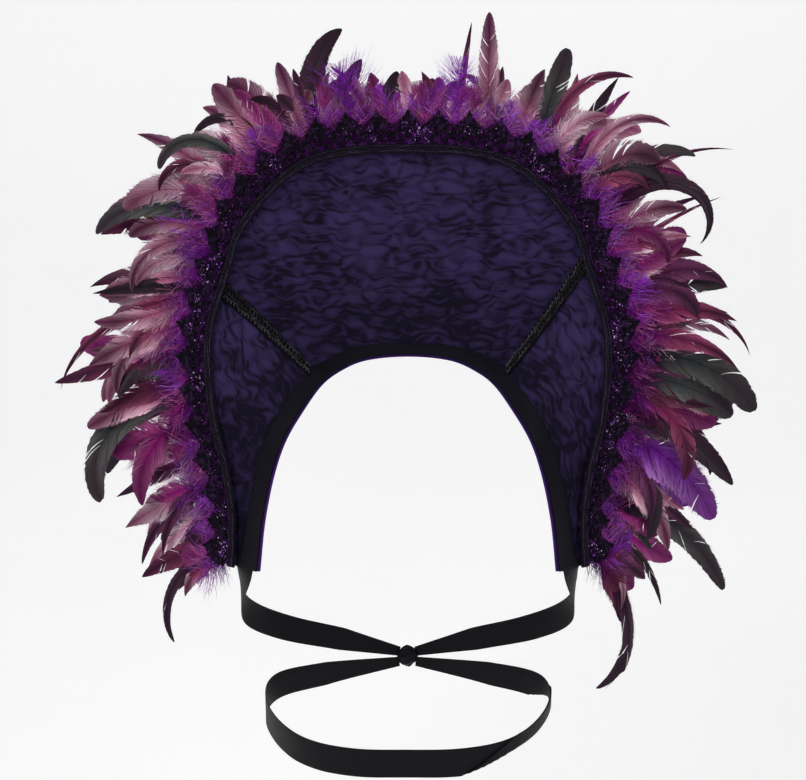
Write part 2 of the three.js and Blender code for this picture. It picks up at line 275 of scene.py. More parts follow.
@dataclass(frozen=True)
class SatinLaceFinish:
    """Lilac satin under soft dark lace of petals and wisps, with a violet raw edge and painted shade towards
    the neck.
    """

    satin: Colour = linear(52, 40, 82)
    sheen: Colour = linear(61, 48, 95)
    lace: Colour = linear(17, 12, 30)
    edge: Colour = linear(58, 26, 98)
    pitch: float = 0.0011

    def cover(self, sheet: NodeSheet) -> Shade:
        """Lace cover, from 0 in an open petal to 1 in a thick line, with painted shade added towards the
        neck.

        Args:
            sheet: The material's nodes.

        Returns:
            The cover.
        """
        place = sheet.node("ShaderNodeUVMap", {"uv_map": LACE_MAP}, {})
        warp = {0: sheet.grain(place, 0.4, 0.8, "Color"), 1: (2.6, 1.7, 0.0), 2: place}
        waved = sheet.node("ShaderNodeVectorMath", {"operation": "MULTIPLY_ADD"}, warp)
        petals = {"Vector": sheet.stretch(waved, 0.5, 0.92), "Scale": 1.0}
        flat = {"voronoi_dimensions": "2D"}
        border, pick = (
            sheet.node("ShaderNodeTexVoronoi", {**flat, "feature": feature}, petals, output)
            for feature, output in (("DISTANCE_TO_EDGE", "Distance"), ("F1", "Color"))
        )
        chance = sheet.node("ShaderNodeSeparateColor", {}, {0: pick}, 0)
        wisps = sheet.grain(sheet.stretch(waved, 0.7, 2.6), 1.0, 1.0)
        line = 1.0 - sheet.ease(border, 0.0, 0.4)
        veil = sheet.ease(chance, 0.3, 0.9)
        streaks = sheet.ease(wisps, 0.22, 0.84)
        murk = sheet.ease(sheet.grain(place, 0.24, 2.0), 0.4, 0.7)
        filled = line * (0.18 + 0.4 * streaks) + veil * (0.12 + 0.24 * streaks)
        # Painted shade: the cover thickens towards the neck, where the panel stands in shadow.
        total = filled + murk * (0.16 + 0.26 * streaks) + 0.45 * sheet.attribute("painted_neck_shade") + 0.08
        return total.maths("MINIMUM", total, 1.0)

    def material(self) -> bpy.types.Material:
        """Makes the material, which reads the painted neck shade and edge attributes.

        Returns:
            The material.
        """
        sheet = NodeSheet("satin_lace")
        lace = self.cover(sheet)
        ground = sheet.blend(sheet.noise(26.0), self.satin, self.sheen)
        cloth = sheet.blend(lace, ground, self.lace)
        colour = sheet.blend(sheet.attribute("edge"), cloth, self.edge)
        weave = sheet.weave(self.pitch)
        height = weave * 0.4 + lace * 1.6 + sheet.noise(900.0) * 0.5
        return sheet.finished(
            {
                "Base Color": colour,
                "Roughness": 0.5 + lace * 0.25 + weave * 0.05,
                "Normal": sheet.bump(height, 0.00022),
                "Specular IOR Level": 0.07,
            }
        )


@dataclass(frozen=True)
class SatinFinish:
    """A dark satin with a soft sheen along its folds, and a painted sheen that lightens its colour in
    patches.
    """

    name: str
    base: Colour
    light: Colour
    roughness: float
    pitch: float = 0.0006

    def material(self) -> bpy.types.Material:
        """Makes the material.

        Returns:
            The material.
        """
        sheet = NodeSheet(self.name)
        # Painted sheen: the light colour is blended in over soft patches.
        patches = sheet.noise(70.0)
        weave = sheet.weave(self.pitch)
        return sheet.finished(
            {
                "Base Color": sheet.blend(patches * 0.8 + weave * 0.1, self.base, self.light),
                "Roughness": self.roughness + patches * 0.12,
                "Normal": sheet.bump(weave + sheet.noise(420.0) * 2.0, 0.00006),
                "Anisotropic": 0.4,
                "Specular IOR Level": 0.1,
            }
        )


@dataclass(frozen=True)
class ThreadFinish:
    """Twisted black thread with painted shade and highlight along the plies of each strand, and bright wires
    among it.
    """

    name: str
    base: Colour
    light: Colour
    wire: Colour
    roughness: float
    specular: float
    twist: float = 1500.0
    plies: float = 12.566

    def material(self) -> bpy.types.Material:
        """Makes the material, which reads the strands' own map and the glint attribute.

        Returns:
            The material.
        """
        sheet = NodeSheet(self.name)
        along, around = sheet.ways(BAKE_MAP)
        ply = (along * self.twist + around * self.plies).sine()
        # Painted shade and highlight: the colour swings between base and light along each ply's twist.
        thread = sheet.blend(ply * 0.35 + 0.4, self.base, self.light)
        glint = sheet.attribute("glint")
        return sheet.finished(
            {
                "Base Color": sheet.blend(glint, thread, self.wire),
                "Roughness": self.roughness - ply * 0.08 - glint * 0.2,
                "Normal": sheet.bump(ply, 0.0001),
                "Specular IOR Level": self.specular,
            }
        )


@dataclass(frozen=True)
class SequinFinish:
    """Shiny purple sequins, violet with a pale painted sparkle where the glint attribute is high."""

    violet: Colour = linear(118, 36, 154)
    painted_sparkle: Colour = linear(232, 192, 242)

    def material(self) -> bpy.types.Material:
        """Makes the material, which reads the glint attribute.

        Returns:
            The material.
        """
        sheet = NodeSheet("purple_sequins")
        # Painted sparkle: sequins with a high glint attribute are lightened to a pale colour.
        glint = sheet.attribute("glint")
        return sheet.finished(
            {
                "Base Color": sheet.blend(glint, self.violet, self.painted_sparkle),
                "Roughness": 0.34 - glint * 0.16,
                "Metallic": 0.55,
                "Coat Weight": 0.5,
                "Coat Roughness": 0.15,
            }
        )


@dataclass(frozen=True)
class FeatherFinish:
    """Dyed feathers with fine barbs: matt and see-through in the down, glossy in the dark tips."""

    shadow: Colour = linear(20, 4, 20)
    through: Colour = linear(116, 46, 108)
    barbs: float = 96.0

    def material(self) -> bpy.types.Material:
        """Makes the material, which reads the tint and gloss attributes.

        Returns:
            The material.
        """
        sheet = NodeSheet("dyed_feathers")
        along, across = sheet.ways(BAKE_MAP)
        row = across * float(len(PLUMES) * len(SHADES))
        barb = along - 0.26 * row.maths("FRACT", row)
        spot = sheet.node("ShaderNodeCombineXYZ", {}, {0: barb * self.barbs, 1: row * 1.4})
        fine = sheet.grain(spot, 1.0, 2.0)
        streak = sheet.ease(fine, 0.38, 0.72)
        tint = sheet.blend(streak * 0.62, sheet.attribute("tint", "Color"), self.shadow)
        gloss = sheet.attribute("gloss")
        face = sheet.principled(
            {
                "Base Color": tint,
                "Roughness": 0.7 - gloss * 0.3 + streak * 0.1,
                "Normal": sheet.bump(fine, 0.0004),
                "Specular IOR Level": 0.08,
                "Coat Weight": gloss * 0.3,
                "Coat Roughness": 0.34,
            }
        )
        through = sheet.node("ShaderNodeBsdfTranslucent", {}, {"Color": opaque(self.through)})
        sockets = {0: 0.24 - gloss * 0.28, 1: face, 2: through}
        return sheet.done(sheet.node("ShaderNodeMixShader", {}, sockets))


@dataclass(frozen=True)
class PaperFinish:
    """Plain pale studio paper, lit a little from behind."""

    tone: Colour = linear(236, 236, 236)
    cloud: Colour = linear(232, 232, 233)
    glow: float = 0.4

    def material(self) -> bpy.types.Material:
        """Makes the material.

        Returns:
            The material.
        """
        sheet = NodeSheet("studio_paper")
        colour = sheet.blend(sheet.noise(2.0), self.tone, self.cloud)
        return sheet.finished(
            {
                "Base Color": colour,
                "Roughness": 0.9,
                "Specular IOR Level": 0.1,
                "Emission Color": colour,
                "Emission Strength": self.glow,
            }
        )


# Meshes


class StrandMesh:
    """Many thin strands joined into one mesh of four-sided faces."""

    def __init__(self) -> None:
        """Starts with no strands."""
        self.points: list[Array] = []
        self.quads: list[Array] = []
        self.places: list[Array] = []
        self.values: dict[str, list[Array]] = {}
        self.count = 0

    def add(self, grid: Array, around: bool, places: Array, **values: Array) -> None:
        """Adds a batch of strands of one shape.

        Args:
            grid: Points of shape (strands, stations, points across, 3).
            around: True where the points across go round a tube, whose ends are then closed.
            places: The strands' places on the bake map, of the grid's shape but for its last number, 2.
            **values: Values kept as attributes, each of the grid's shape but for its last number.
        """
        strands, stations, wide = grid.shape[:3]
        number = np.arange(strands * stations * wide).reshape(strands, stations, wide) + self.count
        right = np.roll(number, -1, axis=2) if around else number[:, :, 1:]
        left = number if around else number[:, :, :-1]
        faces = [np.stack([left[:, :-1], right[:, :-1], right[:, 1:], left[:, 1:]], -1).reshape(-1, 4)]
        if around:
            for corner in range(1, wide - 2, 2):
                first = number[:, 0][:, [0, corner + 2, corner + 1, corner]]
                last = number[:, -1][:, [0, corner, corner + 1, corner + 2]]
                faces.extend([first, last])
        self.quads.extend(faces)
        self.points.append(grid.reshape(-1, 3))
        self.places.append(places.reshape(-1, 2))
        for key, value in values.items():
            self.values.setdefault(key, []).append(value.reshape(len(self.points[-1]), -1))
        self.count += strands * stations * wide

    def tubes(
        self,
        paths: Array,
        fronts: Array,
        radius: Union[Array, float],
        sides: int,
        glint: Union[Array, float],
        height: float | None = None,
    ) -> None:
        """Adds round or flattened strands along paths.

        Args:
            paths: Points of shape (strands, stations, 3).
            fronts: A direction across each station.
            radius: Radius that fits the shape (strands, stations).
            sides: Sides of the round.
            glint: Shine that fits the shape (strands, stations).
            height: Half height where the strand is flattened.
        """
        strands, stations = paths.shape[:2]
        heading = unit(np.gradient(paths, axis=1))
        across = unit(np.cross(heading, fronts))
        up = np.cross(across, heading)
        turn = np.arange(sides) * 2.0 * np.pi / sides + np.pi / sides
        shape = (strands, stations)
        reach = np.broadcast_to(radius, shape)[..., None, None]
        rise = reach if height is None else np.broadcast_to(height, shape)[..., None, None]
        flat = np.cos(turn)[:, None] * across[:, :, None] * reach
        ring = flat + np.sin(turn)[:, None] * up[:, :, None] * rise
        length = np.cumsum(np.linalg.norm(np.diff(paths, axis=1, prepend=paths[:, :1]), axis=-1), axis=1)
        places = np.zeros((*shape, sides, 2))
        places[..., 0] = (length * MM)[..., None]
        places[..., 1] = np.arange(sides) / sides
        shine = np.broadcast_to(np.broadcast_to(glint, shape)[..., None], (*shape, sides))
        self.add(paths[:, :, None] + ring, True, places, glint=shine)

    def mesh(self, name: str) -> bpy.types.Mesh:
        """Joins the strands.

        Args:
            name: The mesh's name.

        Returns:
            The mesh, in metres.
        """
        points = np.concatenate(self.points) * MM
        quads = np.concatenate(self.quads)
        made = bpy.data.meshes.new(name)
        made.vertices.add(len(points))
        made.vertices.foreach_set("co", points.astype(np.float32).ravel())
        made.loops.add(quads.size)
        made.loops.foreach_set("vertex_index", quads.astype(np.int32).ravel())
        made.polygons.add(len(quads))
        made.polygons.foreach_set("loop_start", np.arange(0, quads.size, 4, dtype=np.int32))
        made.update(calc_edges=True)
        made.polygons.foreach_set("use_smooth", np.ones(len(quads), bool))
        keep_map(made, BAKE_MAP, np.concatenate(self.places))
        for key, parts in self.values.items():
            keep_values(made, key, np.concatenate(parts))
        return made


def keep_map(mesh: bpy.types.Mesh, name: str, places: Array) -> None:
    """Gives a mesh a UV map.

    Args:
        mesh: The mesh.
        name: The map's name.
        places: A place on the map for each vertex.
    """
    corners = np.zeros(len(mesh.loops), np.int32)
    mesh.loops.foreach_get("vertex_index", corners)
    made = mesh.uv_layers.new(name=name)
    made.data.foreach_set("uv", places[corners].astype(np.float32).ravel())


def keep_values(mesh: bpy.types.Mesh, name: str, values: Array) -> None:
    """Keeps a number or a colour for each vertex as an attribute.

    Args:
        mesh: The mesh.
        name: The attribute's name.
        values: One number, or three, for each vertex.
    """
    values = np.asarray(values, np.float32).reshape(len(mesh.vertices), -1)
    if values.shape[1] == 1:
        mesh.attributes.new(name, "FLOAT", "POINT").data.foreach_set("value", values.ravel())
        return
    colours = np.concatenate([values, np.ones((len(values), 1), np.float32)], axis=1)
    mesh.attributes.new(name, "FLOAT_COLOR", "POINT").data.foreach_set("color", colours.ravel())


@dataclass
class Slab:
    """A closed slab of cloth, with the place of each vertex along, across and through it."""

    mesh: bpy.types.Mesh
    along: Array
    across: Array
    through: Array

    def bend(self, points: Array, flat: Pair) -> None:
        """Moves the vertices to their places and gives the cloth its map.

        Args:
            points: A place for each vertex, in millimetres.
            flat: Length and width of the cloth in metres.
        """
        self.mesh.vertices.foreach_set("co", (points * MM).astype(np.float32).ravel())
        keep_map(self.mesh, CLOTH_MAP, np.stack([self.along * flat[0], self.across * flat[1]], -1))
        self.mesh.update()


def only(parts: Sequence, kind: type) -> list:
    """Picks the parts of one kind."""
    return [part for part in parts if isinstance(part, kind)]


def settled(shape: bmesh.types.BMesh, name: str) -> bpy.types.Mesh:
    """Turns a bmesh into a mesh with smooth faces that point outwards.

    Args:
        shape: The bmesh, which is freed.
        name: The mesh's name.

    Returns:
        The mesh.
    """
    bmesh.ops.recalc_face_normals(shape, faces=shape.faces[:])
    for face in shape.faces:
        face.smooth = True
    made = bpy.data.meshes.new(name)
    shape.to_mesh(made)
    shape.free()
    return made


def slab(name: str, long_steps: int, wide_steps: int) -> Slab:
    """Makes a flat unit slab from a grid that is drawn up to a closed wall.

    Args:
        name: The mesh's name.
        long_steps: Faces along.
        wide_steps: Faces across.

    Returns:
        The slab.
    """
    shape = bmesh.new()
    bmesh.ops.create_grid(shape, x_segments=long_steps, y_segments=wide_steps, size=0.5)
    grown = bmesh.ops.extrude_face_region(shape, geom=shape.faces[:], use_keep_orig=True)
    bmesh.ops.translate(shape, verts=only(grown["geom"], bmesh.types.BMVert), vec=(0.0, 0.0, 1.0))
    made = settled(shape, name)
    places = np.zeros(len(made.vertices) * 3, np.float32)
    made.vertices.foreach_get("co", places)
    places = places.reshape(-1, 3).astype(float)
    return Slab(made, places[:, 0] + 0.5, places[:, 1] + 0.5, places[:, 2])


def in_scene(name: str, data: bpy.types.ID) -> bpy.types.Object:
    """Puts a mesh, a lamp or a camera in the scene.

    Args:
        name: The object's name.
        data: What it shows.

    Returns:
        The object.
    """
    made = bpy.data.objects.new(name, data)
    bpy.context.scene.collection.objects.link(made)
    return made


def show(mesh: bpy.types.Mesh, material: bpy.types.Material, slot: str, *nodes: str) -> bpy.types.Object:
    """Puts a finished mesh in the scene as a piece of the collar.

    Args:
        mesh: The mesh, whose name the piece takes.
        material: Its material.
        slot: Not used.
        *nodes: The frame's nodes that it stands for.

    Returns:
        The piece.
    """
    piece = in_scene(mesh.name, mesh)
    mesh.materials.append(material)
    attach(piece, "root")
    if nodes:
        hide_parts(*nodes)
    mesh.calc_loop_triangles()
    LOG.info("%s: %d triangles", piece.name, len(mesh.loop_triangles))
    return piece


# The fan


@dataclass(frozen=True)
class Rib:
    """One rib of the fan, from the neck edge to the rim line."""

    name: str
    neck: Point
    rim: Point


RIBS = (
    Rib("centre_back", (0, 76, 6), (0, 138, 202)),
    Rib("nape", (42, 66, 4), (101, 118, 191)),
    Rib("crown", (66, 45, -2), (163, 84, 133)),
    Rib("seam", (82, 18, -9), (176, 64, 92)),
    Rib("shoulder", (98, -8, -26), (191, 34, 34)),
    Rib("collarbone", (115, -34, -50), (184, 4, -34)),
    Rib("chest", (125, -45, -76), (170, -14, -84)),
    Rib("ribcage", (135, -52, -122), (163, -26, -128)),
    Rib("corner", (141, -46, -176), (166, -30, -175)),
)


def through_points(points: Array, samples: int) -> Array:
    """Draws a smooth line through points.

    Args:
        points: Points of shape (number, values).
        samples: Samples wanted.

    Returns:
        The samples, evenly spread over the points.
    """
    ends = np.vstack([2 * points[0] - points[1], points, 2 * points[-1] - points[-2]])
    place = np.linspace(0, len(points) - 1, samples)
    span = np.minimum(place.astype(int), len(points) - 2)
    share = (place - span)[:, None]
    before, start, end, after = (ends[span + k] for k in range(4))
    pairs = ((before, start), (start, end), (end, after))
    first, middle, last = (np.sqrt(np.linalg.norm(b - a, axis=1, keepdims=True)) for a, b in pairs)
    chord = (end - start) / middle
    leave = ((start - before) / first - (end - before) / (first + middle) + chord) * middle
    reach = (chord - (after - start) / (middle + last) + (after - end) / last) * middle
    square = -3 * start + 3 * end - 2 * leave - reach
    cube = 2 * start - 2 * end + leave + reach
    return start + leave * share + square * share**2 + cube * share**3


class FanSurface:
    """The front face of the panels.

    A place on it is a rib position, from -last at the left corner to last at the right one, a distance out
    from the rim line, negative towards the neck, and a lift in front of the face.
    """

    bow_depth = 7.0
    bow_span = 205.0

    def __init__(self) -> None:
        """Draws the neck edge and the rim line through the ribs of both sides."""
        samples = 3201
        self.last = len(RIBS) - 1
        self.ribs = np.linspace(-self.last, self.last, samples)
        self.neck = self.edge([rib.neck for rib in RIBS], samples)
        self.rim = self.edge([rib.rim for rib in RIBS], samples)
        steps = np.linalg.norm(np.diff(self.rim, axis=0), axis=1)
        along = np.concatenate([[0.0], np.cumsum(steps)])
        self.length = float(along[-1])
        self.along = along - self.length / 2

    @staticmethod
    def edge(right: Sequence[Point], samples: int) -> Array:
        """Draws one edge through its right half and the mirrored left half."""
        half = np.array(right, float)
        return through_points(np.vstack([half[:0:-1] * (-1, 1, 1), half]), samples)

    def rib_at(self, along: Array) -> Array:
        """Rib position at a distance along the rim line from centre back."""
        return np.interp(along, self.along, self.ribs)

    def ends(self, rib: Array) -> tuple[Array, Array]:
        """Neck and rim points of a rib position."""
        picked = [[np.interp(rib, self.ribs, line[:, k]) for k in range(3)] for line in (self.neck, self.rim)]
        return np.stack(picked[0], -1), np.stack(picked[1], -1)

    def rib_length(self, rib: Array) -> Array:
        """Length of a rib."""
        neck, rim = self.ends(rib)
        return np.linalg.norm(rim - neck, axis=-1)

    def ruled(self, rib: Array, out: Array) -> Array:
        """Point on the straight rib.

        Args:
            rib: Rib position.
            out: Distance out from the rim line.

        Returns:
            The points.
        """
        neck, rim = self.ends(rib)
        share = 1 + out / np.linalg.norm(rim - neck, axis=-1)
        return neck + (rim - neck) * share[..., None]

    def directions(self, surface: Callable, rib: Array, out: Array) -> tuple[Array, Array, Array]:
        """Directions of a surface at a place.

        Args:
            surface: Gives the surface's points.
            rib: Rib position.
            out: Distance out from the rim line.

        Returns:
            Movement along for each rib, the way out, and the way to the front.
        """
        step = 0.02
        before = np.clip(rib - step, -self.last, self.last)
        after = np.clip(rib + step, -self.last, self.last)
        along = (surface(after, out) - surface(before, out)) / (after - before)[..., None]
        outward = unit(surface(rib, out + step) - surface(rib, out - step))
        return along, outward, unit(np.cross(along, outward))

    def point(self, rib: Array, out: Array) -> Array:
        """Point on the bowed face.

        Args:
            rib: Rib position.
            out: Distance out from the rim line.

        Returns:
            The points.
        """
        front = self.directions(self.ruled, rib, out)[2]
        bow = -4 * self.bow_depth * (self.rib_length(rib) + out) * out / self.bow_span**2
        return self.ruled(rib, out) - front * bow[..., None]

    def on(self, rib: Array, out: Array, lift: Array) -> Array:
        """Point in front of the face.

        Args:
            rib: Rib position.
            out: Distance out from the rim line.
            lift: Distance in front of the face.

        Returns:
            The points.
        """
        rib, out, lift = np.broadcast_arrays(*(np.asarray(x, float) for x in (rib, out, lift)))
        front = self.directions(self.point, rib, out)[2]
        return self.point(rib, out) + front * lift[..., None]

    def front(self, rib: Array, out: Array) -> Array:
        """Way to the front at a place."""
        rib, out = np.broadcast_arrays(np.asarray(rib, float), np.asarray(out, float))
        return self.directions(self.point, rib, out)[2]

    def step_aside(self, rib: Array, out: Array, distance: Array) -> Array:
        """Rib position moved sideways by a distance."""
        speed = np.linalg.norm(self.directions(self.ruled, rib, out)[0], axis=-1)
        return np.clip(rib + distance / speed, -self.last, self.last)


FAN = FanSurface()
SEAM_GAP = 0.6


@dataclass(frozen=True)
class Seam:
    """A seam between two panels, as rib positions at the neck and at the rim."""

    neck: float
    rim: float

    def rib(self, across: Array) -> Array:
        """Rib position at a share of the way from neck to rim."""
        return mix(self.neck, self.rim, np.asarray(across, float))


LEFT_SEAM = Seam(-3.0, -3.25)
RIGHT_SEAM = Seam(3.0, 2.75)
LEFT_FRONT = Seam(-8.0, -8.0)
RIGHT_FRONT = Seam(8.0, 8.0)


class Grain(Enum):
    """The way that the lace's waves run over a panel."""

    LEVEL = "level"
    UPRIGHT = "upright"


@dataclass
class Panel:
    """A panel of stiffened satin under lace."""

    node: str
    left: Seam
    right: Seam
    grain: Grain
    seed: int
    steps: tuple[int, int]
    flat: Pair
    area: float
    shadow: float = 0.0
    thickness: float = 2.0
    rim_margin: float = 16.0
    edge_strip: Pair = (1.1, 1.9)
    neck_shadow: Pair = (10.0, 130.0)

    def chart(self, points: Array) -> Array:
        """Places on the lace's map, in centimetres along and across its waves.

        Args:
            points: Places on the panel.

        Returns:
            Places on the map.
        """
        level = points[:, 2] * 1.04 + points[:, 1] * 0.25
        if self.grain is Grain.LEVEL:
            run, row = points[:, 0], level
        else:
            run, row = level - points[:, 0] * 0.35, points[:, 0] + points[:, 1] * 0.8
        return np.stack([run, row], -1) / 10.0 + self.seed

    def build(self, material: bpy.types.Material) -> bpy.types.Object:
        """Builds the panel as a closed wall.

        Args:
            material: Its material.

        Returns:
            The piece.
        """
        wall = slab(self.node + "_cloth", *self.steps)
        across = wall.across
        sides = []
        for seam, side in ((self.left, 0.5), (self.right, -0.5)):
            rib = seam.rib(across)
            out = mix(-FAN.rib_length(rib), self.rim_margin, across)
            sides.append(FAN.step_aside(rib, out, side * SEAM_GAP * np.ones_like(rib)))
        rib = mix(sides[0], sides[1], wall.along)
        out = mix(-FAN.rib_length(rib), self.rim_margin, across)
        lift = mix(-self.thickness, 0.0, wall.through)
        points = FAN.on(rib, out, lift)
        wall.bend(points, self.flat)
        keep_map(wall.mesh, LACE_MAP, self.chart(points))
        from_neck = FAN.rib_length(rib) + out
        # Painted shade: darker towards the neck, and over the whole panel by its shadow share.
        keep_values(wall.mesh, "painted_neck_shade", 1.0 - (1.0 - self.shadow) * smooth(*self.neck_shadow, from_neck))
        keep_values(wall.mesh, "edge", 1.0 - smooth(*self.edge_strip, from_neck))
        piece = show(wall.mesh, material, "satin_lace", self.node)
        return piece


@dataclass
class NeckBinding:
    """Dark satin band, softly puckered, along the neck edge and down both fronts."""

    inset: float = 2.0
    nape_width: float = 11.0
    corner_width: float = 23.0
    lift: float = 0.7
    thickness: float = 0.8
    pucker: float = 0.35
    rib_spacing: float = 75.0
    flat: Pair = (0.66, 0.025)
    area: float = 0.011

    def width(self, rib: Array) -> Array:
        """Width of the band at a rib position."""
        return mix(self.nape_width, self.corner_width, np.abs(rib) / FAN.last)

    def build(self, material: bpy.types.Material) -> bpy.types.Object:
        """Builds the band.

        Args:
            material: Its material.

        Returns:
            The piece.
        """
        band = slab("neck_binding_satin", 330, 12)
        rib = mix(-FAN.last, FAN.last, band.along)
        from_neck = self.inset + self.width(rib) * band.across
        run = rib * self.rib_spacing
        folds = cloudy(run / 7 + band.across * 1.5, band.across * 2.2, 31) - 0.4
        draw = cloudy(run / 26, band.across * 1.4, 32) - 0.4
        belly = np.sin(np.pi * band.across)
        lift = self.lift + band.through * self.thickness
        lift = lift + belly * (0.5 + self.pucker * folds + 1.4 * self.pucker * draw)
        band.bend(FAN.on(rib, from_neck - FAN.rib_length(rib), lift), self.flat)
        piece = show(band.mesh, material, "dark_satin", "neck_binding")
        return piece


@dataclass
class Plait:
    """A braid of three plaited columns side by side, with a fine wire looped over each."""

    spacing: float
    swing: float
    pitch: float
    radius: float
    height: float
    shine: float
    detail: int
    loop: float

    def strands(self, place: Callable, length: float) -> StrandMesh:
        """Lays the cords and wires.

        Args:
            place: Gives the point at a distance along, an offset across and a height.
            length: Length of the braid.

        Returns:
            The strands.
        """
        bundle = StrandMesh()
        stations = int(length / self.pitch * self.detail) + 2
        along = np.linspace(0.0, length, stations)

        def lay(run: Array, offset: Array, level: Array, radius: float, glint: Array) -> None:
            """Lays one cord.

            Args:
                run: Distances along the braid.
                offset: Distances across it.
                level: Heights above its ground.
                radius: The cord's radius.
                glint: Its shine.
            """
            run = np.clip(run, 0.0, length)
            path = place(run, offset, level)
            front = unit(place(run, offset, level + 0.2) - path)
            bundle.tubes(path[None], front[None], radius, 4, glint)

        for number, column in enumerate((-self.spacing, 0.0, self.spacing)):
            hand = 1.0 if number % 2 else -1.0
            for cord in range(3):
                turn = 2 * np.pi * (along / self.pitch + cord / 3) * hand
                level = self.radius + self.height * (0.5 + 0.5 * np.cos(2 * turn))
                lay(along, column + self.swing * np.sin(turn), level, self.radius, 0.0)
            run = np.linspace(0.0, length, int(length / self.loop * self.detail) + 2)
            drift = cloudy(run / (self.loop * 1.7), np.full(len(run), number + 0.5), 23) - 0.5
            turn = 2 * np.pi * run / self.loop * hand + 7.0 * drift
            patchy = cloudy(run / 5.0, np.full(len(run), number + 3.5), 17)
            sparse = 0.1 + 0.3 * min(number, 1)
            glint = self.shine * (0.25 + 0.75 * smooth(sparse, sparse + 0.5, patchy))
            level = 2 * self.radius + self.height * 0.8 + 0.2 * np.cos(turn)
            offset = column + self.swing * (0.9 * np.sin(turn) + 2.0 * drift)
            lay(run + 0.3 * self.loop * np.cos(turn), offset, level, self.radius * 0.26, glint[None])
        outer = self.spacing + self.swing + self.radius * 0.9
        for side in (-outer, 0.0, outer):
            level = np.full(stations, self.radius * (0.9 if side else 2.0))
            lay(along, np.full(stations, side), level, self.radius * 0.62, 0.0)
        return bundle


@dataclass
class Braids:
    """The black braids over the two seams and along the rim."""

    binding: NeckBinding
    rim_lift: float = 5.0
    seam_lift: float = 0.6
    seam_spread: Pair = (0.9, 1.15)
    rim_half: float = 4.0

    def rim(self, material: bpy.types.Material) -> bpy.types.Object:
        """Builds the braid where the panels and the lace edging meet.

        Args:
            material: Its material.

        Returns:
            The piece.
        """

        def place(along: Array, across: Array, height: Array) -> Array:
            """Point of the rim braid."""
            return FAN.on(FAN.rib_at(along - FAN.length / 2), across, self.rim_lift + height)

        plait = Plait(
            spacing=2.5, swing=0.85, pitch=8.0, radius=0.9, height=0.5, shine=0.3, detail=4, loop=5.0
        )
        cords = plait.strands(place, FAN.length).mesh("rim_braid_cords")
        return show(cords, material, "black_braid", "rim_braid")

    def seam(self, node: str, seam: Seam, material: bpy.types.Material) -> bpy.types.Object:
        """Builds the braid over one seam.

        Args:
            node: The frame's node.
            seam: The seam that it covers.
            material: Its material.

        Returns:
            The piece.
        """
        rim_end = -self.rim_half - SEAM_GAP
        start = self.binding.inset + self.binding.width(np.array(seam.neck)) + 2 * SEAM_GAP
        neck_end = float(start - FAN.rib_length(np.array(seam.neck)))
        length = rim_end - neck_end

        def place(along: Array, across: Array, height: Array) -> Array:
            """Point of the seam braid.

            Args:
                along: Distance along the braid from the neck.
                across: Offset to the side.
                height: Height above its ground.

            Returns:
                The points.
            """
            share = along / length
            out = mix(neck_end, rim_end, share)
            rib = FAN.step_aside(seam.rib(share), out, across * mix(*self.seam_spread, share))
            return FAN.on(rib, out, self.seam_lift + height)

        plait = Plait(
            spacing=4.4, swing=1.8, pitch=7.6, radius=1.1, height=0.6, shine=0.34, detail=9, loop=4.8
        )
        cords = plait.strands(place, length).mesh(node + "_cords")
        return show(cords, material, "black_braid", node)


# Lace edging


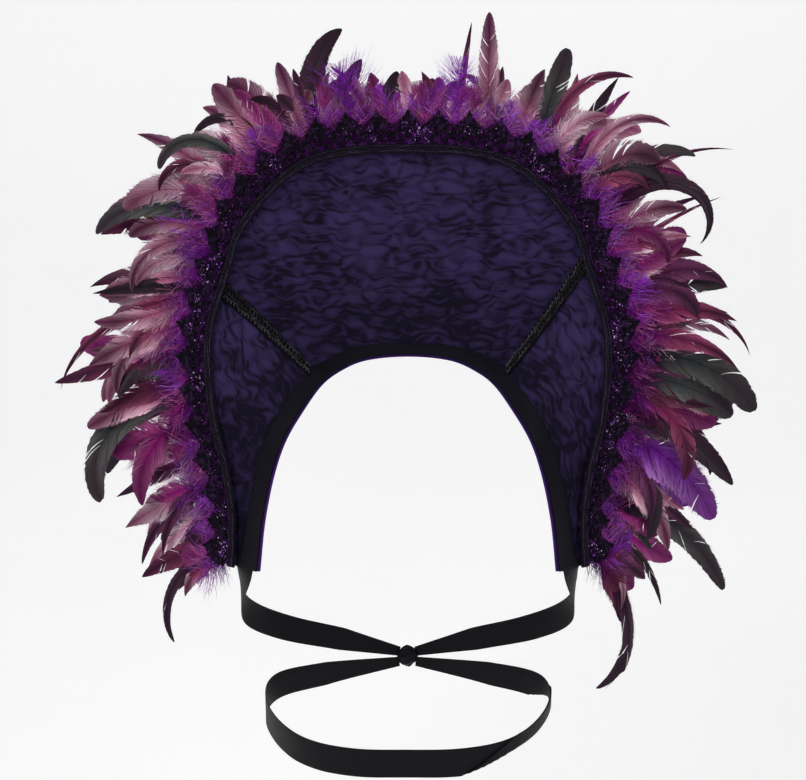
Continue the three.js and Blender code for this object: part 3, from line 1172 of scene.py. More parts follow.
@dataclass
class LaceEdging:
    """Black pointed lace: a net ground, padded leaves and flowers, a corded edge and sequins."""

    scallops: int = 37
    lift: float = 3.5
    inner: float = -4.0
    valley: float = 23.0
    point: float = 38.0
    point_spread: float = 3.4
    net_pitch: float = 3.6
    net_step: float = 4.4
    net_slant: float = 0.62
    net_radius: float = 0.32
    cord_radius: float = 0.6
    padding: float = 0.55
    flat: Pair = (1.07, 0.043)
    area: float = 0.036
    seed: int = 7
    clusters: int = 46
    loose_sequins: int = 170
    bunched_sequins: int = 400
    broad_sequins: int = 230

    def __post_init__(self) -> None:
        """Starts the bundle of threads."""
        self.threads = StrandMesh()

    @property
    def repeat(self) -> float:
        """Length of one repeat."""
        return FAN.length / self.scallops

    def edge(self, along: Array) -> Array:
        """Distance out of the pointed edge, whose points differ a little in height.

        Args:
            along: Distance along the rim line from its left end.

        Returns:
            The distance out.
        """
        share = np.abs((along / self.repeat) % 1.0 - 0.5) * 2
        chance = cloudy(along / self.repeat, np.full_like(along, 0.5), self.seed)
        high = self.point + self.point_spread * (chance - 0.7)
        spire = np.interp(share, [0.0, 0.16, 0.5, 0.8, 1.0], [1.0, 0.66, 0.44, 0.14, 0.0])
        return mix(self.valley, high, spire)

    def lay(
        self,
        lines: Array,
        radius: Union[Array, float],
        raise_by: float,
        height: float | None = None,
    ) -> None:
        """Lays threads on the fan.

        Args:
            lines: Distances along and out, of shape (threads, stations, 2).
            radius: Thread radius.
            raise_by: Height above the lace's ground.
            height: Half height where the thread is flattened.
        """
        half = FAN.length / 2
        rib = FAN.rib_at(np.clip(lines[..., 0] - half, -half, half))
        path = FAN.on(rib, lines[..., 1], self.lift + raise_by)
        sides = 4 if height is None else 6
        grain = np.random.default_rng(self.seed + int(np.abs(lines).sum())).random(lines.shape[:2])
        shine = (0.3 if height is None else 0.1) * smooth(0.5, 1.0, grain)
        self.threads.tubes(path, FAN.front(rib, lines[..., 1]), radius, sides, shine, height)

    def over_repeats(self, line: Array, unevenness: float = 0.0) -> Array:
        """Copies one thread of a repeat to every repeat.

        Args:
            line: Distances along and out of shape (stations, 2).
            unevenness: Spread of each copy's own place.

        Returns:
            The threads.
        """
        shift = np.random.default_rng(self.seed + len(line)).normal(0.0, unevenness, (self.scallops, 1, 2))
        shift[:, 0, 0] += np.arange(self.scallops) * self.repeat
        return line[None] + shift

    def leaf(self, base: Pair, tip: Pair, wide: float) -> None:
        """Adds one padded leaf to every repeat.

        Args:
            base: Foot of the leaf, along as a share of the repeat and out.
            tip: Its point.
            wide: Its width.
        """
        scale = np.array([self.repeat, 1.0])
        start = np.array(base, float) * scale
        end = np.array(tip, float) * scale
        share = np.linspace(0.0, 1.0, 7)
        half = np.maximum(wide / 2 * np.sin(np.pi * share**0.85) ** 0.8, 0.15)
        line = start + (end - start) * share[:, None]
        self.lay(self.over_repeats(line, 0.5), half[None], 0.45, self.padding)

    def flower(self, middle: Pair, size: float) -> None:
        """Adds one six-petalled flower to every repeat.

        Args:
            middle: Its middle, along as a share of the repeat and out.
            size: Length of a petal.
        """
        for petal in range(6):
            turn = petal * math.pi / 3 + 0.3
            along, out = math.sin(turn), math.cos(turn)
            foot = (middle[0] + 0.8 * along / self.repeat, middle[1] + 0.8 * out)
            tip = (middle[0] + size * along / self.repeat, middle[1] + size * out)
            self.leaf(foot, tip, size * 0.72)

    def ground(self) -> None:
        """Adds the net between the leaves, as two families of slanting threads."""
        step = self.net_step
        for hand in (-1.0, 1.0):
            starts = np.arange(-30.0, FAN.length + 30.0, self.net_pitch)
            outs = np.arange(self.inner + 2.0, self.point, step)
            first, second = np.meshgrid(starts, outs, indexing="ij")
            lean = self.net_slant * hand
            begin = np.stack([first + lean * second, second], -1).reshape(-1, 2)
            end = begin + np.array([lean * step, step])
            inside = begin[:, 1] < self.edge(end[:, 0]) - 3.0
            inside &= (begin[:, 0] > 0) & (begin[:, 0] < FAN.length)
            self.lay(np.stack([begin, end], 1)[inside], self.net_radius, 0.0)

    def border(self) -> None:
        """Adds the corded edge with its picots and the heading along the rim."""
        share = np.linspace(0.0, 1.0, 29)
        along = share * self.repeat
        picots = 1.1 * np.abs(np.sin(np.pi * share * 7))
        edge = np.stack([along, self.edge(along) - 0.8 + picots], -1)
        self.lay(self.over_repeats(edge), self.cord_radius, 0.35)
        for out, height in ((-3.0, 0.0), (5.6, 0.3)):
            heading = np.stack([along[::3], out + 0.8 * np.sin(2 * np.pi * share[::3] * 3)], -1)
            self.lay(self.over_repeats(heading), self.cord_radius, height)

    def build(self, material: bpy.types.Material) -> bpy.types.Object:
        """Builds the lace.

        Args:
            material: Its material.

        Returns:
            The piece.
        """
        self.ground()
        self.border()
        self.leaf((0.5, 20.0), (0.5, 38.4), 7.4)
        self.leaf((0.02, 9.5), (0.02, 23.4), 6.4)
        side_leaves = (
            ((0.05, 19.0), (0.15, 32.6), 5.6),
            ((0.07, 17.5), (0.27, 28.4), 5.6),
            ((0.12, 16.0), (0.38, 24.6), 5.0),
            ((0.42, 11.0), (0.28, 19.0), 4.6),
            ((0.27, 6.0), (0.4, 12.5), 3.8),
            ((0.23, 6.0), (0.12, 12.5), 3.8),
        )
        for hand in (-1.0, 1.0):
            for foot, tip, wide in side_leaves:
                self.leaf((0.5 + foot[0] * hand, foot[1]), (0.5 + tip[0] * hand, tip[1]), wide)
        self.flower((0.5, 14.4), 5.0)
        piece = show(self.threads.mesh("lace_edging_threads"), material, "black_lace", "lace_edging")
        return piece

    def glints(self, material: bpy.types.Material) -> bpy.types.Object:
        """Scatters small sequins in clusters over the lace.

        Args:
            material: Their material.

        Returns:
            The piece.
        """
        random = np.random.default_rng(self.seed)

        def spread(number: int, margin: float, low: float, high: float) -> Array:
            """Spreads places over the length of the lace."""
            along = random.uniform(margin, FAN.length - margin, number)
            return np.stack([along, random.uniform(low, high, number)], -1)

        def gather(number: int, distance: float) -> Array:
            """Gathers places round the clusters."""
            picked = centres[random.integers(0, len(centres), number)]
            return picked + random.normal(0.0, distance, (number, 2))

        centres = spread(self.clusters, 8.0, 9.0, 24.0)
        loose = spread(self.loose_sequins, 4.0, 3.0, 36.0)
        bunch = gather(self.bunched_sequins, 3.0)
        large = gather(self.broad_sequins, 5.0)
        spots = np.concatenate([loose, bunch, large])
        broad = np.repeat([0.0, 1.0], [len(loose) + len(bunch), len(large)])
        kept = (spots[:, 1] < self.edge(spots[:, 0]) - 2.5) & (spots[:, 1] > 6.5)
        kept &= (spots[:, 0] > 3.0) & (spots[:, 0] < FAN.length - 3.0)
        spots, broad = spots[kept], broad[kept]
        rib = FAN.rib_at(spots[:, 0] - FAN.length / 2)
        along, outward, front = FAN.directions(FAN.point, rib, spots[:, 1])
        tilt = random.normal(0.0, 0.34, (len(spots), 2)) * mix(1.0, 0.12, broad)[:, None]
        facing = unit(front + unit(along) * tilt[:, :1] + outward * tilt[:, 1:])
        middle = FAN.on(rib, spots[:, 1], self.lift + mix(1.3, -0.2, broad))
        path = middle[:, None] + facing[:, None] * np.array([-0.12, 0.12])[:, None]
        glint = smooth(0.55, 1.0, random.random(len(spots))) * mix(1.0, 0.8, broad)
        size = random.uniform(0.35, 0.75, len(spots)) * mix(1.0, 3.8, broad)
        bundle = StrandMesh()
        bundle.tubes(path, np.repeat(outward[:, None], 2, 1), size[:, None], 6, glint[:, None])
        return show(bundle.mesh("lace_edging_sequins"), material, "black_lace")


# Feathers


@dataclass(frozen=True)
class Plumage:
    """Colours and build of one kind of feather.

    Its foot is downy for the share fluff of its length, closed is how far its barbs close up, and a larger
    taper makes a more pointed tip. Its edge colour is a painted glow of light through the thin vane edges.
    """

    root: Colour
    web: Colour
    tip: Colour
    edge: Colour
    fluff: float
    gloss: float
    closed: float
    taper: float


class Plume(Enum):
    """The kinds of feather in the fringe."""

    LILAC = Plumage(
        linear(96, 10, 136), linear(146, 54, 180), linear(174, 98, 198), linear(206, 146, 216),
        fluff=0.7, gloss=0.1, closed=0.8, taper=0.8,
    )
    VIOLET = Plumage(
        linear(86, 2, 116), linear(128, 10, 170), linear(146, 44, 188), linear(196, 116, 222),
        fluff=0.85, gloss=0.1, closed=0.8, taper=0.6,
    )
    IRIS = Plumage(
        linear(90, 4, 128), linear(132, 32, 172), linear(116, 48, 144), linear(204, 138, 220),
        fluff=0.4, gloss=0.2, closed=1.1, taper=0.62,
    )
    MAGENTA = Plumage(
        linear(92, 2, 112), linear(148, 16, 116), linear(108, 20, 84), linear(208, 116, 172),
        fluff=0.46, gloss=0.25, closed=1.1, taper=0.74,
    )
    BURGUNDY = Plumage(
        linear(94, 4, 106), linear(104, 24, 64), linear(52, 11, 31), linear(162, 78, 116),
        fluff=0.26, gloss=0.4, closed=1.3, taper=1.1,
    )
    DUSTY = Plumage(
        linear(104, 4, 118), linear(164, 86, 118), linear(84, 31, 55), linear(246, 200, 220),
        fluff=0.34, gloss=0.2, closed=1.2, taper=0.84,
    )
    BLUSH = Plumage(
        linear(112, 10, 122), linear(206, 146, 176), linear(146, 78, 106), linear(252, 228, 240),
        fluff=0.4, gloss=0.15, closed=1.1, taper=0.9,
    )
    PLUM = Plumage(
        linear(84, 2, 104), linear(72, 18, 55), linear(40, 13, 35), linear(130, 68, 110),
        fluff=0.3, gloss=0.35, closed=1.3, taper=1.05,
    )
    GREEN = Plumage(
        linear(40, 4, 44), linear(31, 43, 42), linear(42, 34, 39), linear(98, 98, 94),
        fluff=0.14, gloss=0.75, closed=1.5, taper=0.6,
    )
    BLACK = Plumage(
        linear(58, 4, 50), linear(34, 16, 30), linear(24, 11, 22), linear(66, 40, 56),
        fluff=0.16, gloss=0.65, closed=1.5, taper=0.9,
    )


PLUMES = tuple(Plume)
SHADES = (0.56, 0.84, 1.16, 1.5)


@dataclass(frozen=True)
class Feather:
    """One feather: its place along the rim, its size, its bend and its kind."""

    along: float
    reach: float
    breadth: float
    lean: float
    curl: float
    lift: float
    plume: Plume
    shade: int = 1
    root_out: float = 9.5
    root_lift: float = 1.6
    pitch: float = 0.9
    hair: float = 0.36
    webbed: bool = True
    tip: float = 1.0
    split: float = 0.24


STANDING = (
    (-526, 46, 30, -40, -10, 0, Plume.LILAC),
    (-526, 138, 10, -18, -128, 6, Plume.BLACK),
    (-514, 118, 22, -15, -25, 10, Plume.BURGUNDY),
    (-465, 146, 16, -4, -80, 14, Plume.PLUM),
    (-452, 72, 36, -8, -10, -8, Plume.VIOLET),
    (-406, 116, 36, -14, -27, 8, Plume.MAGENTA),
    (-368, 126, 12, -40, -15, -14, Plume.GREEN),
    (-378, 186, 24, -18, -138, 14, Plume.GREEN),
    (-326, 148, 20, -46, -6, 4, Plume.BURGUNDY),
    (-300, 122, 28, -56, -18, -10, Plume.DUSTY),
    (-280, 185, 10, -52, -75, 14, Plume.BURGUNDY),
    (-270, 114, 14, -60, -10, -16, Plume.BURGUNDY),
    (-262, 120, 14, -52, -8, 6, Plume.BLACK),
    (-235, 72, 34, -12, -12, 12, Plume.VIOLET),
    (-222, 125, 16, -45, -110, -6, Plume.DUSTY),
    (-205, 148, 22, -32, -82, 8, Plume.GREEN),
    (-178, 118, 12, -8, -140, 12, Plume.BURGUNDY),
    (-165, 134, 12, 0, -150, -8, Plume.GREEN),
    (-145, 122, 10, 12, -165, -14, Plume.BLACK),
    (-132, 106, 28, -16, -8, 6, Plume.DUSTY),
    (-102, 94, 18, 2, -10, -12, Plume.DUSTY),
    (-90, 82, 14, -2, -6, 4, Plume.PLUM),
    (-85, 128, 22, -4, 74, 8, Plume.BLACK),
    (-78, 94, 18, 26, 20, -8, Plume.BLACK),
    (-52, 76, 44, -3, -10, 8, Plume.VIOLET),
    (-30, 90, 7, -15, -40, -14, Plume.BURGUNDY),
    (-25, 70, 22, 14, 4, 4, Plume.BLACK),
    (18, 62, 26, 0, 10, -8, Plume.PLUM),
    (46, 120, 7, 1, 2, -10, Plume.BURGUNDY),
    (50, 80, 30, -8, 4, 10, Plume.VIOLET),
    (78, 132, 18, -10, 0, 2, Plume.DUSTY),
    (105, 74, 30, 0, 6, -10, Plume.DUSTY),
    (125, 120, 22, -3, 6, 8, Plume.GREEN),
    (135, 150, 12, -10, 100, -10, Plume.BURGUNDY),
    (165, 128, 16, -8, 25, 12, Plume.BLACK),
    (188, 152, 14, -24, 120, -6, Plume.DUSTY),
    (205, 172, 7, 9, 56, -12, Plume.BURGUNDY),
    (220, 156, 16, -22, 110, 10, Plume.GREEN),
    (216, 188, 15, -1, 190, 4, Plume.BLACK),
    (250, 146, 6, 13, 16, -12, Plume.BURGUNDY),
    (268, 94, 24, 15, 6, 10, Plume.MAGENTA),
    (290, 134, 30, -2, 100, 8, Plume.PLUM),
    (305, 157, 12, 18, 97, -8, Plume.BURGUNDY),
    (318, 130, 20, 30, 60, 12, Plume.BURGUNDY),
    (330, 157, 32, 34, 66, 4, Plume.GREEN),
    (348, 132, 26, 38, 30, -12, Plume.GREEN),
    (372, 112, 26, 35, 5, 10, Plume.MAGENTA),
    (368, 156, 24, 50, 30, 6, Plume.BLACK),
    (398, 156, 36, 38, 45, 8, Plume.IRIS),
    (412, 116, 36, 22, 40, 12, Plume.IRIS),
    (425, 131, 34, 6, 78, 4, Plume.IRIS),
    (440, 150, 14, 22, 12, -12, Plume.PLUM),
    (467, 226, 22, 8, 52, 6, Plume.GREEN),
    (500, 140, 9, 14, 75, 10, Plume.BLACK),
    (508, 86, 32, 40, 6, -6, Plume.MAGENTA),
    (522, 172, 14, 47, 124, 4, Plume.BLACK),
)


@dataclass(frozen=True)
class Row:
    """A row of feathers sown at random along the rim, with the ranges of their sizes.

    lean and curl each give the share of the fringe's habit that the row follows and the spread round it.
    """

    number: int
    seed: int
    unevenness: float
    kinds: Sequence[Plume]
    reach: Pair
    breadth: Pair
    lean: Pair
    curl: Pair
    lift: Pair
    ranges: Mapping[str, Pair]
    build: Mapping
    chances: Sequence[float] | None = None
    shades: int = len(SHADES)
    slim: float = 2.0
    shaped: bool = False


MIDDLE_ROW = Row(
    number=156,
    seed=0,
    unevenness=4.0,
    kinds=(Plume.BURGUNDY, Plume.DUSTY, Plume.BLUSH, Plume.MAGENTA, Plume.PLUM, Plume.GREEN, Plume.BLACK),
    chances=(0.19, 0.18, 0.24, 0.09, 0.17, 0.06, 0.07),
    reach=(0.78, 1.18),
    breadth=(15.0, 36.0),
    lean=(0.8, 12.0),
    curl=(0.9, 36.0),
    lift=(-22.0, 10.0),
    ranges={"root_lift": (0.9, 1.7), "tip": (0.5, 1.2)},
    build={},
    slim=0.36,
    shaped=True,
)
DOWN_ROW = Row(
    number=136,
    seed=1,
    unevenness=3.0,
    kinds=(Plume.VIOLET, Plume.MAGENTA, Plume.LILAC),
    chances=(0.5, 0.44, 0.06),
    reach=(36.0, 62.0),
    breadth=(24.0, 38.0),
    lean=(0.5, 16.0),
    curl=(0.0, 30.0),
    lift=(-26.0, 16.0),
    ranges={"root_out": (4.0, 11.0), "root_lift": (0.7, 2.2)},
    build={"pitch": 0.72, "hair": 0.32, "webbed": False},
)
BACKING_ROW = Row(
    number=96,
    seed=3,
    unevenness=2.0,
    kinds=(Plume.VIOLET, Plume.MAGENTA, Plume.PLUM),
    reach=(48.0, 60.0),
    breadth=(38.0, 46.0),
    lean=(0.0, 8.0),
    curl=(0.0, 0.0),
    lift=(-12.0, -2.0),
    ranges={},
    build={"root_out": 3.0, "root_lift": 0.9, "pitch": 0.85, "hair": 0.8, "webbed": False},
    shades=3,
)


@dataclass
class Quill:
    """Points of a quill with its heading, side and facing directions, and the rim near its foot."""

    points: Array
    heading: Array
    side: Array
    facing: Array
    rim: Array
    outward: Array
    front: Array

    def at(self, share: Array) -> tuple[Array, Array, Array, Array]:
        """Reads the quill between its points.

        Args:
            share: Shares of the length.

        Returns:
            Points, headings, sides and facings.
        """
        place = np.asarray(share) * (len(self.points) - 1)
        low = np.minimum(place.astype(int), len(self.points) - 2)
        rest = (place - low)[..., None]
        parts = (self.points, self.heading, self.side, self.facing)
        return tuple(mix(part[low], part[low + 1], rest) for part in parts)


@dataclass
class FeatherWork:
    """One feather while its barbs, shaft and webs are laid."""

    feather: Feather
    bundle: StrandMesh
    random: np.random.Generator
    curl_power: float = 1.8
    rise_start: float = 0.4
    foot_span: float = 40.0
    stations: int = 4
    web_pitch: float = 3.6
    web_stations: int = 6
    lead: float = 0.3
    camber: float = 0.2
    under_lace: float = 2.5
    past_lace: Pair = (32.0, 62.0)
    free_rise: float = 60.0
    panel_edge: float = 3.0
    barb_rise: float = 8.0
    vane_end: float = 0.985

    def __post_init__(self) -> None:
        """Looks up the feather's kind and bends its quill."""
        self.kind: Plumage = self.feather.plume.value
        self.quill = self.bent()

    def lay(self) -> None:
        """Lays the whole feather."""
        self.barbs()
        self.shaft()
        if self.feather.webbed:
            self.web()

    def bent(self) -> Quill:
        """Bends the quill.

        Returns:
            The quill.
        """
        feather = self.feather
        steps = 36
        rib = FAN.rib_at(np.array(feather.along))
        out = np.array(feather.root_out)
        _, outward, front = FAN.directions(FAN.point, rib, out)
        right = np.cross(outward, front)
        share = (np.arange(steps + 1) + 0.5) / steps
        turn = np.radians(feather.lean + feather.curl * share**self.curl_power)[:, None]
        rise = np.radians(feather.lift * smooth(self.rise_start, 1.0, share))[:, None]
        flat = np.cos(turn) * outward + np.sin(turn) * right
        side = np.cos(turn) * right - np.sin(turn) * outward
        heading = np.cos(rise) * flat + np.sin(rise) * front
        start = FAN.on(rib, out, feather.root_lift)
        run = np.concatenate([np.zeros((1, 3)), np.cumsum(heading[:-1], 0)])
        points = start + run * feather.reach / steps
        near = feather.along + np.linspace(-self.foot_span, self.foot_span, 21)
        rib = FAN.rib_at(np.clip(near, -FAN.length / 2, FAN.length / 2))
        on_rim = np.zeros_like(rib)
        _, outward, front = FAN.directions(FAN.point, rib, on_rim)
        facing = np.cross(heading, side)
        return Quill(points, heading, side, facing, FAN.on(rib, on_rim, on_rim), outward, front)

    @staticmethod
    def belly(share: Array, taper: float) -> Array:
        """Half width of a vane along the quill, 1 at its widest.

        Args:
            share: Share of the quill's length.
            taper: How pointed the tip is.

        Returns:
            The half width.
        """
        share = np.clip(share, 0.0, 1.0)
        swell = 0.45
        widest = swell / (swell + taper)
        return share**swell * (1.0 - share) ** taper / (widest**swell * (1.0 - widest) ** taper)

    def dye(self, shade: Array, share: Array, across: Array) -> tuple[Array, Array]:
        """Colour and gloss of the feather, with a painted glow of light near the vane edges.

        Args:
            shade: Row of the shades.
            share: Share of the quill's length.
            across: Share of the way from quill to vane edge.

        Returns:
            Colours and gloss.
        """
        kind = self.kind
        root, web, tip, edge = (np.array(part) for part in (kind.root, kind.web, kind.tip, kind.edge))
        colour = mix(root, web, smooth(0.18, 0.5, share)[..., None])
        colour = mix(colour, tip, smooth(0.46, 0.84, share)[..., None])
        # Painted light: the vane edges are paled towards the edge colour, as if lit through their thin barbs.
        pale = 0.95 * across**1.5 * smooth(0.2, 0.48, share) * (1.0 - 0.8 * smooth(0.6, 0.92, share))
        colour = mix(colour, edge, pale[..., None])
        return colour * np.array(SHADES)[shade][..., None], kind.gloss * smooth(0.25, 0.6, share)

    def barbs(self) -> None:
        """Adds the loose barbs of both vanes, all along a downy feather and at the foot of a webbed one."""
        feather, kind, random = self.feather, self.kind, self.random
        top = min(kind.fluff + 0.14, self.vane_end) if feather.webbed else self.vane_end
        number = max(int(feather.reach * top / feather.pitch), 16)
        share = np.tile(np.linspace(0.06, top, number), 2) + random.normal(0.0, 0.002, 2 * number)
        hand = np.repeat([-1.0, 1.0], number)
        downy = 1.0 - smooth(kind.fluff - 0.12, kind.fluff + 0.12, share)
        clump = np.cumsum(random.random(2 * number) < mix(0.05, 0.16, downy))
        swing = random.normal(0.0, 1.0, clump[-1] + 1)[clump]
        rise = random.normal(0.0, 1.0, clump[-1] + 1)[clump]
        own = random.normal(0.0, 1.0, (5, 2 * number))
        angle = mix(56.0 - 36.0 * share, 76.0 - 26.0 * share, downy)
        angle = np.radians(angle + swing * mix(0.9, 7.0, downy) + own[0] * mix(0.5, 9.0, downy))
        ahead = mix(share, np.clip(share + 0.12, 0, 1), downy)
        half = feather.breadth / 2 * self.belly(ahead, kind.taper * feather.tip)
        half = half * (1.0 + mix(0.07, 0.2, downy) * own[1]) * mix(1.0, 1.12, downy)
        length = np.maximum(half, 0.5) / np.maximum(np.sin(angle * 0.85), 0.22)
        length = np.minimum(length, (1.06 - share) * feather.reach * mix(1.0, 1.5, downy))
        step = np.linspace(0.0, 1.0, self.stations)
        bend = mix(0.34, 0.3 + 0.45 * own[2], downy)
        way = angle[:, None] * (1.0 - bend[:, None] * step)
        middle_way = (way[:, 1:] + way[:, :-1]) / 2
        zero = np.zeros((2 * number, 1))
        run, reach = (
            np.concatenate([zero, np.cumsum(part, 1)], 1) / (self.stations - 1) * length[:, None]
            for part in (np.cos(middle_way), np.sin(middle_way))
        )
        steep = rise * mix(0.025, 0.16, downy) + own[3] * mix(0.01, 0.12, downy)
        climb = np.minimum(steep, 0.2)[:, None] * step
        climb = climb + 0.1 * step**2 + downy[:, None] * 0.09 * np.sin(step * 7.0 + own[4][:, None] * 3.0)
        base, heading, side, facing = (part[:, None] for part in self.quill.at(np.clip(share, 0, 1)))
        side = side * hand[:, None, None]
        back = np.minimum(climb * length[:, None], self.barb_rise)
        line = base + heading * run[..., None] + side * reach[..., None] + facing * back[..., None]
        slope = side * np.cos(way)[..., None] - heading * np.sin(way)[..., None]
        wide = feather.pitch * np.sin(angle) * kind.closed * mix(1.25, 0.5, float(feather.webbed))
        thinning = mix(1.0 - 0.5 * step**3, 1.0 - 0.75 * step, downy[:, None])
        wide = mix(wide, feather.hair, downy)[:, None] * thinning
        twist = slope + facing * (0.25 * own[4])[:, None, None]
        offset = twist * (wide / 2)[..., None] * hand[:, None, None]
        line = self.tucked(line)
        pair = np.stack([line - offset, line + offset], 2)
        far = np.clip(share[:, None] + 0.7 * run / feather.reach, 0.0, 1.0)
        shade = np.clip(feather.shade + random.choice([-1, 0, 0, 1], 2 * number), 0, len(SHADES) - 1)
        self.paint(pair, shade[:, None, None], far[..., None], step[:, None])

    def sweep_lines(
        self, root: Array, lead: Array, half: Array, step: Array, lift: Array
    ) -> tuple[Array, Array, Array]:
        """Curves of barbs that leave the quill and end on the outline of the vane.

        Args:
            root: Share of the quill where each barb leaves it.
            lead: Share of the quill left beyond the root that the barb runs forward.
            half: Width of the vane as a share of its usual width, with its sign for the side.
            step: Shares of the way along each barb.
            lift: Height of each barb's end over the half width.

        Returns:
            The curves, their shares of the quill's length and the quill's heading at their ends.
        """
        feather, quill = self.feather, self.quill
        end = np.clip(root + (1.0 - root) * lead, 0.0, 1.0)
        wide = feather.breadth / 2 * self.belly(end, self.kind.taper * feather.tip) * half
        base = quill.at(root)[0]
        knee, _, knee_side, _ = quill.at(mix(root, end, 0.42))
        edge, heading, side, facing = quill.at(end)
        knee = knee + knee_side * (0.58 * wide)[:, None]
        edge = edge + side * wide[:, None] + facing * (lift * np.abs(wide))[:, None]
        step = step[..., None]
        bend = 2 * step * (1 - step)
        line = (1 - step) ** 2 * base[:, None] + bend * knee[:, None] + step**2 * edge[:, None]
        return self.tucked(line), mix(root[:, None], end[:, None], step[..., 0]), heading

    def web(self) -> None:
        """Adds the smooth webs of both vanes, split here and there along their barbs, with a frayed edge."""
        feather, random = self.feather, self.random
        first = max(self.kind.fluff - 0.08, 0.04)
        number = int(feather.reach * (1.0 - first) / self.web_pitch) + 9
        root = mix(first, 0.996, np.linspace(0.0, 1.0, number))
        step = np.broadcast_to(np.linspace(0.0, 1.0, self.web_stations), (number, self.web_stations))
        for hand in (-1, 1):
            spots = np.arange(2, number * 3 // 4, 2)
            cuts = np.sort(random.choice(spots, random.integers(1, 5), replace=False))
            fullness = random.uniform(0.85, 1.05)
            for start, stop in zip([0, *cuts], [*cuts, number - 1]):
                part = slice(start, stop + 1)
                inside = np.linspace(1.0, -1.0, stop + 1 - start)
                gap = random.uniform(0.02, feather.split)
                lead = self.lead * (1.0 + gap * inside)
                half = hand * fullness * (1.0 + random.normal(0.0, 0.035, len(inside)))
                tilt = min(random.normal(0.0, 0.13), 0.08)
                lift = self.camber + tilt + random.normal(0.0, 0.02, len(inside))
                line, share, _ = self.sweep_lines(root[part], lead, half, step[part], lift)
                line, share, across = (each[:, ::hand] for each in (line, share, step[part]))
                self.paint(line[None], feather.shade, share, across)
            self.fray(hand * fullness, first)

    def fray(self, half: float, first: float) -> None:
        """Adds loose barb ends along the edge of one web.

        Args:
            half: Share of the vane's usual width, with its sign for the side.
            first: Share of the quill where the web starts.
        """
        feather, random = self.feather, self.random
        number = int(feather.reach / 1.7)
        root = mix(first, 0.97, random.random(number))
        reach = 1.0 + random.uniform(0.02, 0.24, number) * (0.4 + 0.6 * (1.0 - self.kind.gloss))
        step = np.stack([np.full(number, 0.72), np.full(number, 0.92), reach], -1)
        lead = self.lead * (1.0 + random.normal(0.0, 0.1, number))
        lift = self.camber + np.minimum(random.normal(0.0, 0.12, number), 0.1)
        line, share, heading = self.sweep_lines(root, lead, np.full(number, half), step, lift)
        wide = np.array([0.4, 0.3, 0.05])[:, None] * heading[:, None]
        pair = np.stack([line - wide * np.sign(half), line + wide * np.sign(half)], 2)
        shade = np.clip(feather.shade + random.choice([0, 1], number), 0, len(SHADES) - 1)
        share = np.clip(share, 0.0, 1.0)[..., None]
        self.paint(pair, shade[:, None, None], share, np.minimum(step, 1.0)[..., None])

    def paint(
        self,
        grid: Array,
        shade: Union[Array, int],
        share: Array,
        across: Union[Array, float],
        around: bool = False,
    ) -> None:
        """Adds a grid of barbs, or a shaft, with its colours.

        On the bake map the feathers of one kind and shade share a row.

        Args:
            grid: Points of shape (strands, stations, points across, 3).
            shade: Row of the shades, in a shape that fits the grid's.
            share: Share of the quill's length, likewise.
            across: Share of the way from quill to vane edge, likewise.
            around: True for a shaft, whose points go round a tube.
        """
        shade, share, across = (np.broadcast_to(part, grid.shape[:3]) for part in (shade, share, across))
        tint, gloss = self.dye(shade, share, across)
        row = PLUMES.index(self.feather.plume) * len(SHADES) + shade
        rows = len(PLUMES) * len(SHADES)
        places = np.stack([0.02 + 0.96 * np.clip(share, 0, 1), (row + 0.15 + 0.7 * across) / rows], -1)
        self.bundle.add(grid, around, places, tint=tint, gloss=gloss[..., None])

    def tucked(self, points: Array) -> Array:
        """Presses points at the feather's foot down behind the lace edging and out of the panels.

        Args:
            points: Points of its barbs.

        Returns:
            The pressed points.
        """
        quill = self.quill
        nearest = np.argmin(np.sum((points[..., None, :] - quill.rim) ** 2, -1), -1)
        from_rim = points - quill.rim[nearest]
        outward, front = quill.outward[nearest], quill.front[nearest]
        level = np.sum(from_rim * front, -1)
        beyond = np.sum(from_rim * outward, -1)
        ceiling = self.under_lace + self.free_rise * smooth(*self.past_lace, beyond)
        pressed = points - front * np.maximum(level - ceiling, 0.0)[..., None]
        return pressed + outward * np.maximum(self.panel_edge - beyond, 0.0)[..., None]

    def shaft(self) -> None:
        """Adds the quill's shaft."""
        feather = self.feather
        share = np.linspace(0.0, 0.97, 16)
        points, _, side, facing = self.quill.at(share)
        radius = mix(0.62, 0.14, share) * min(1.0, 0.6 + feather.reach / 250.0)
        turn = np.arange(4) * np.pi / 2
        ring = np.cos(turn)[:, None] * side[:, None] + np.sin(turn)[:, None] * facing[:, None]
        grid = points[:, None] + ring * radius[:, None, None]
        self.paint(grid[None], max(feather.shade - 1, 0), share[:, None], 0.0, around=True)


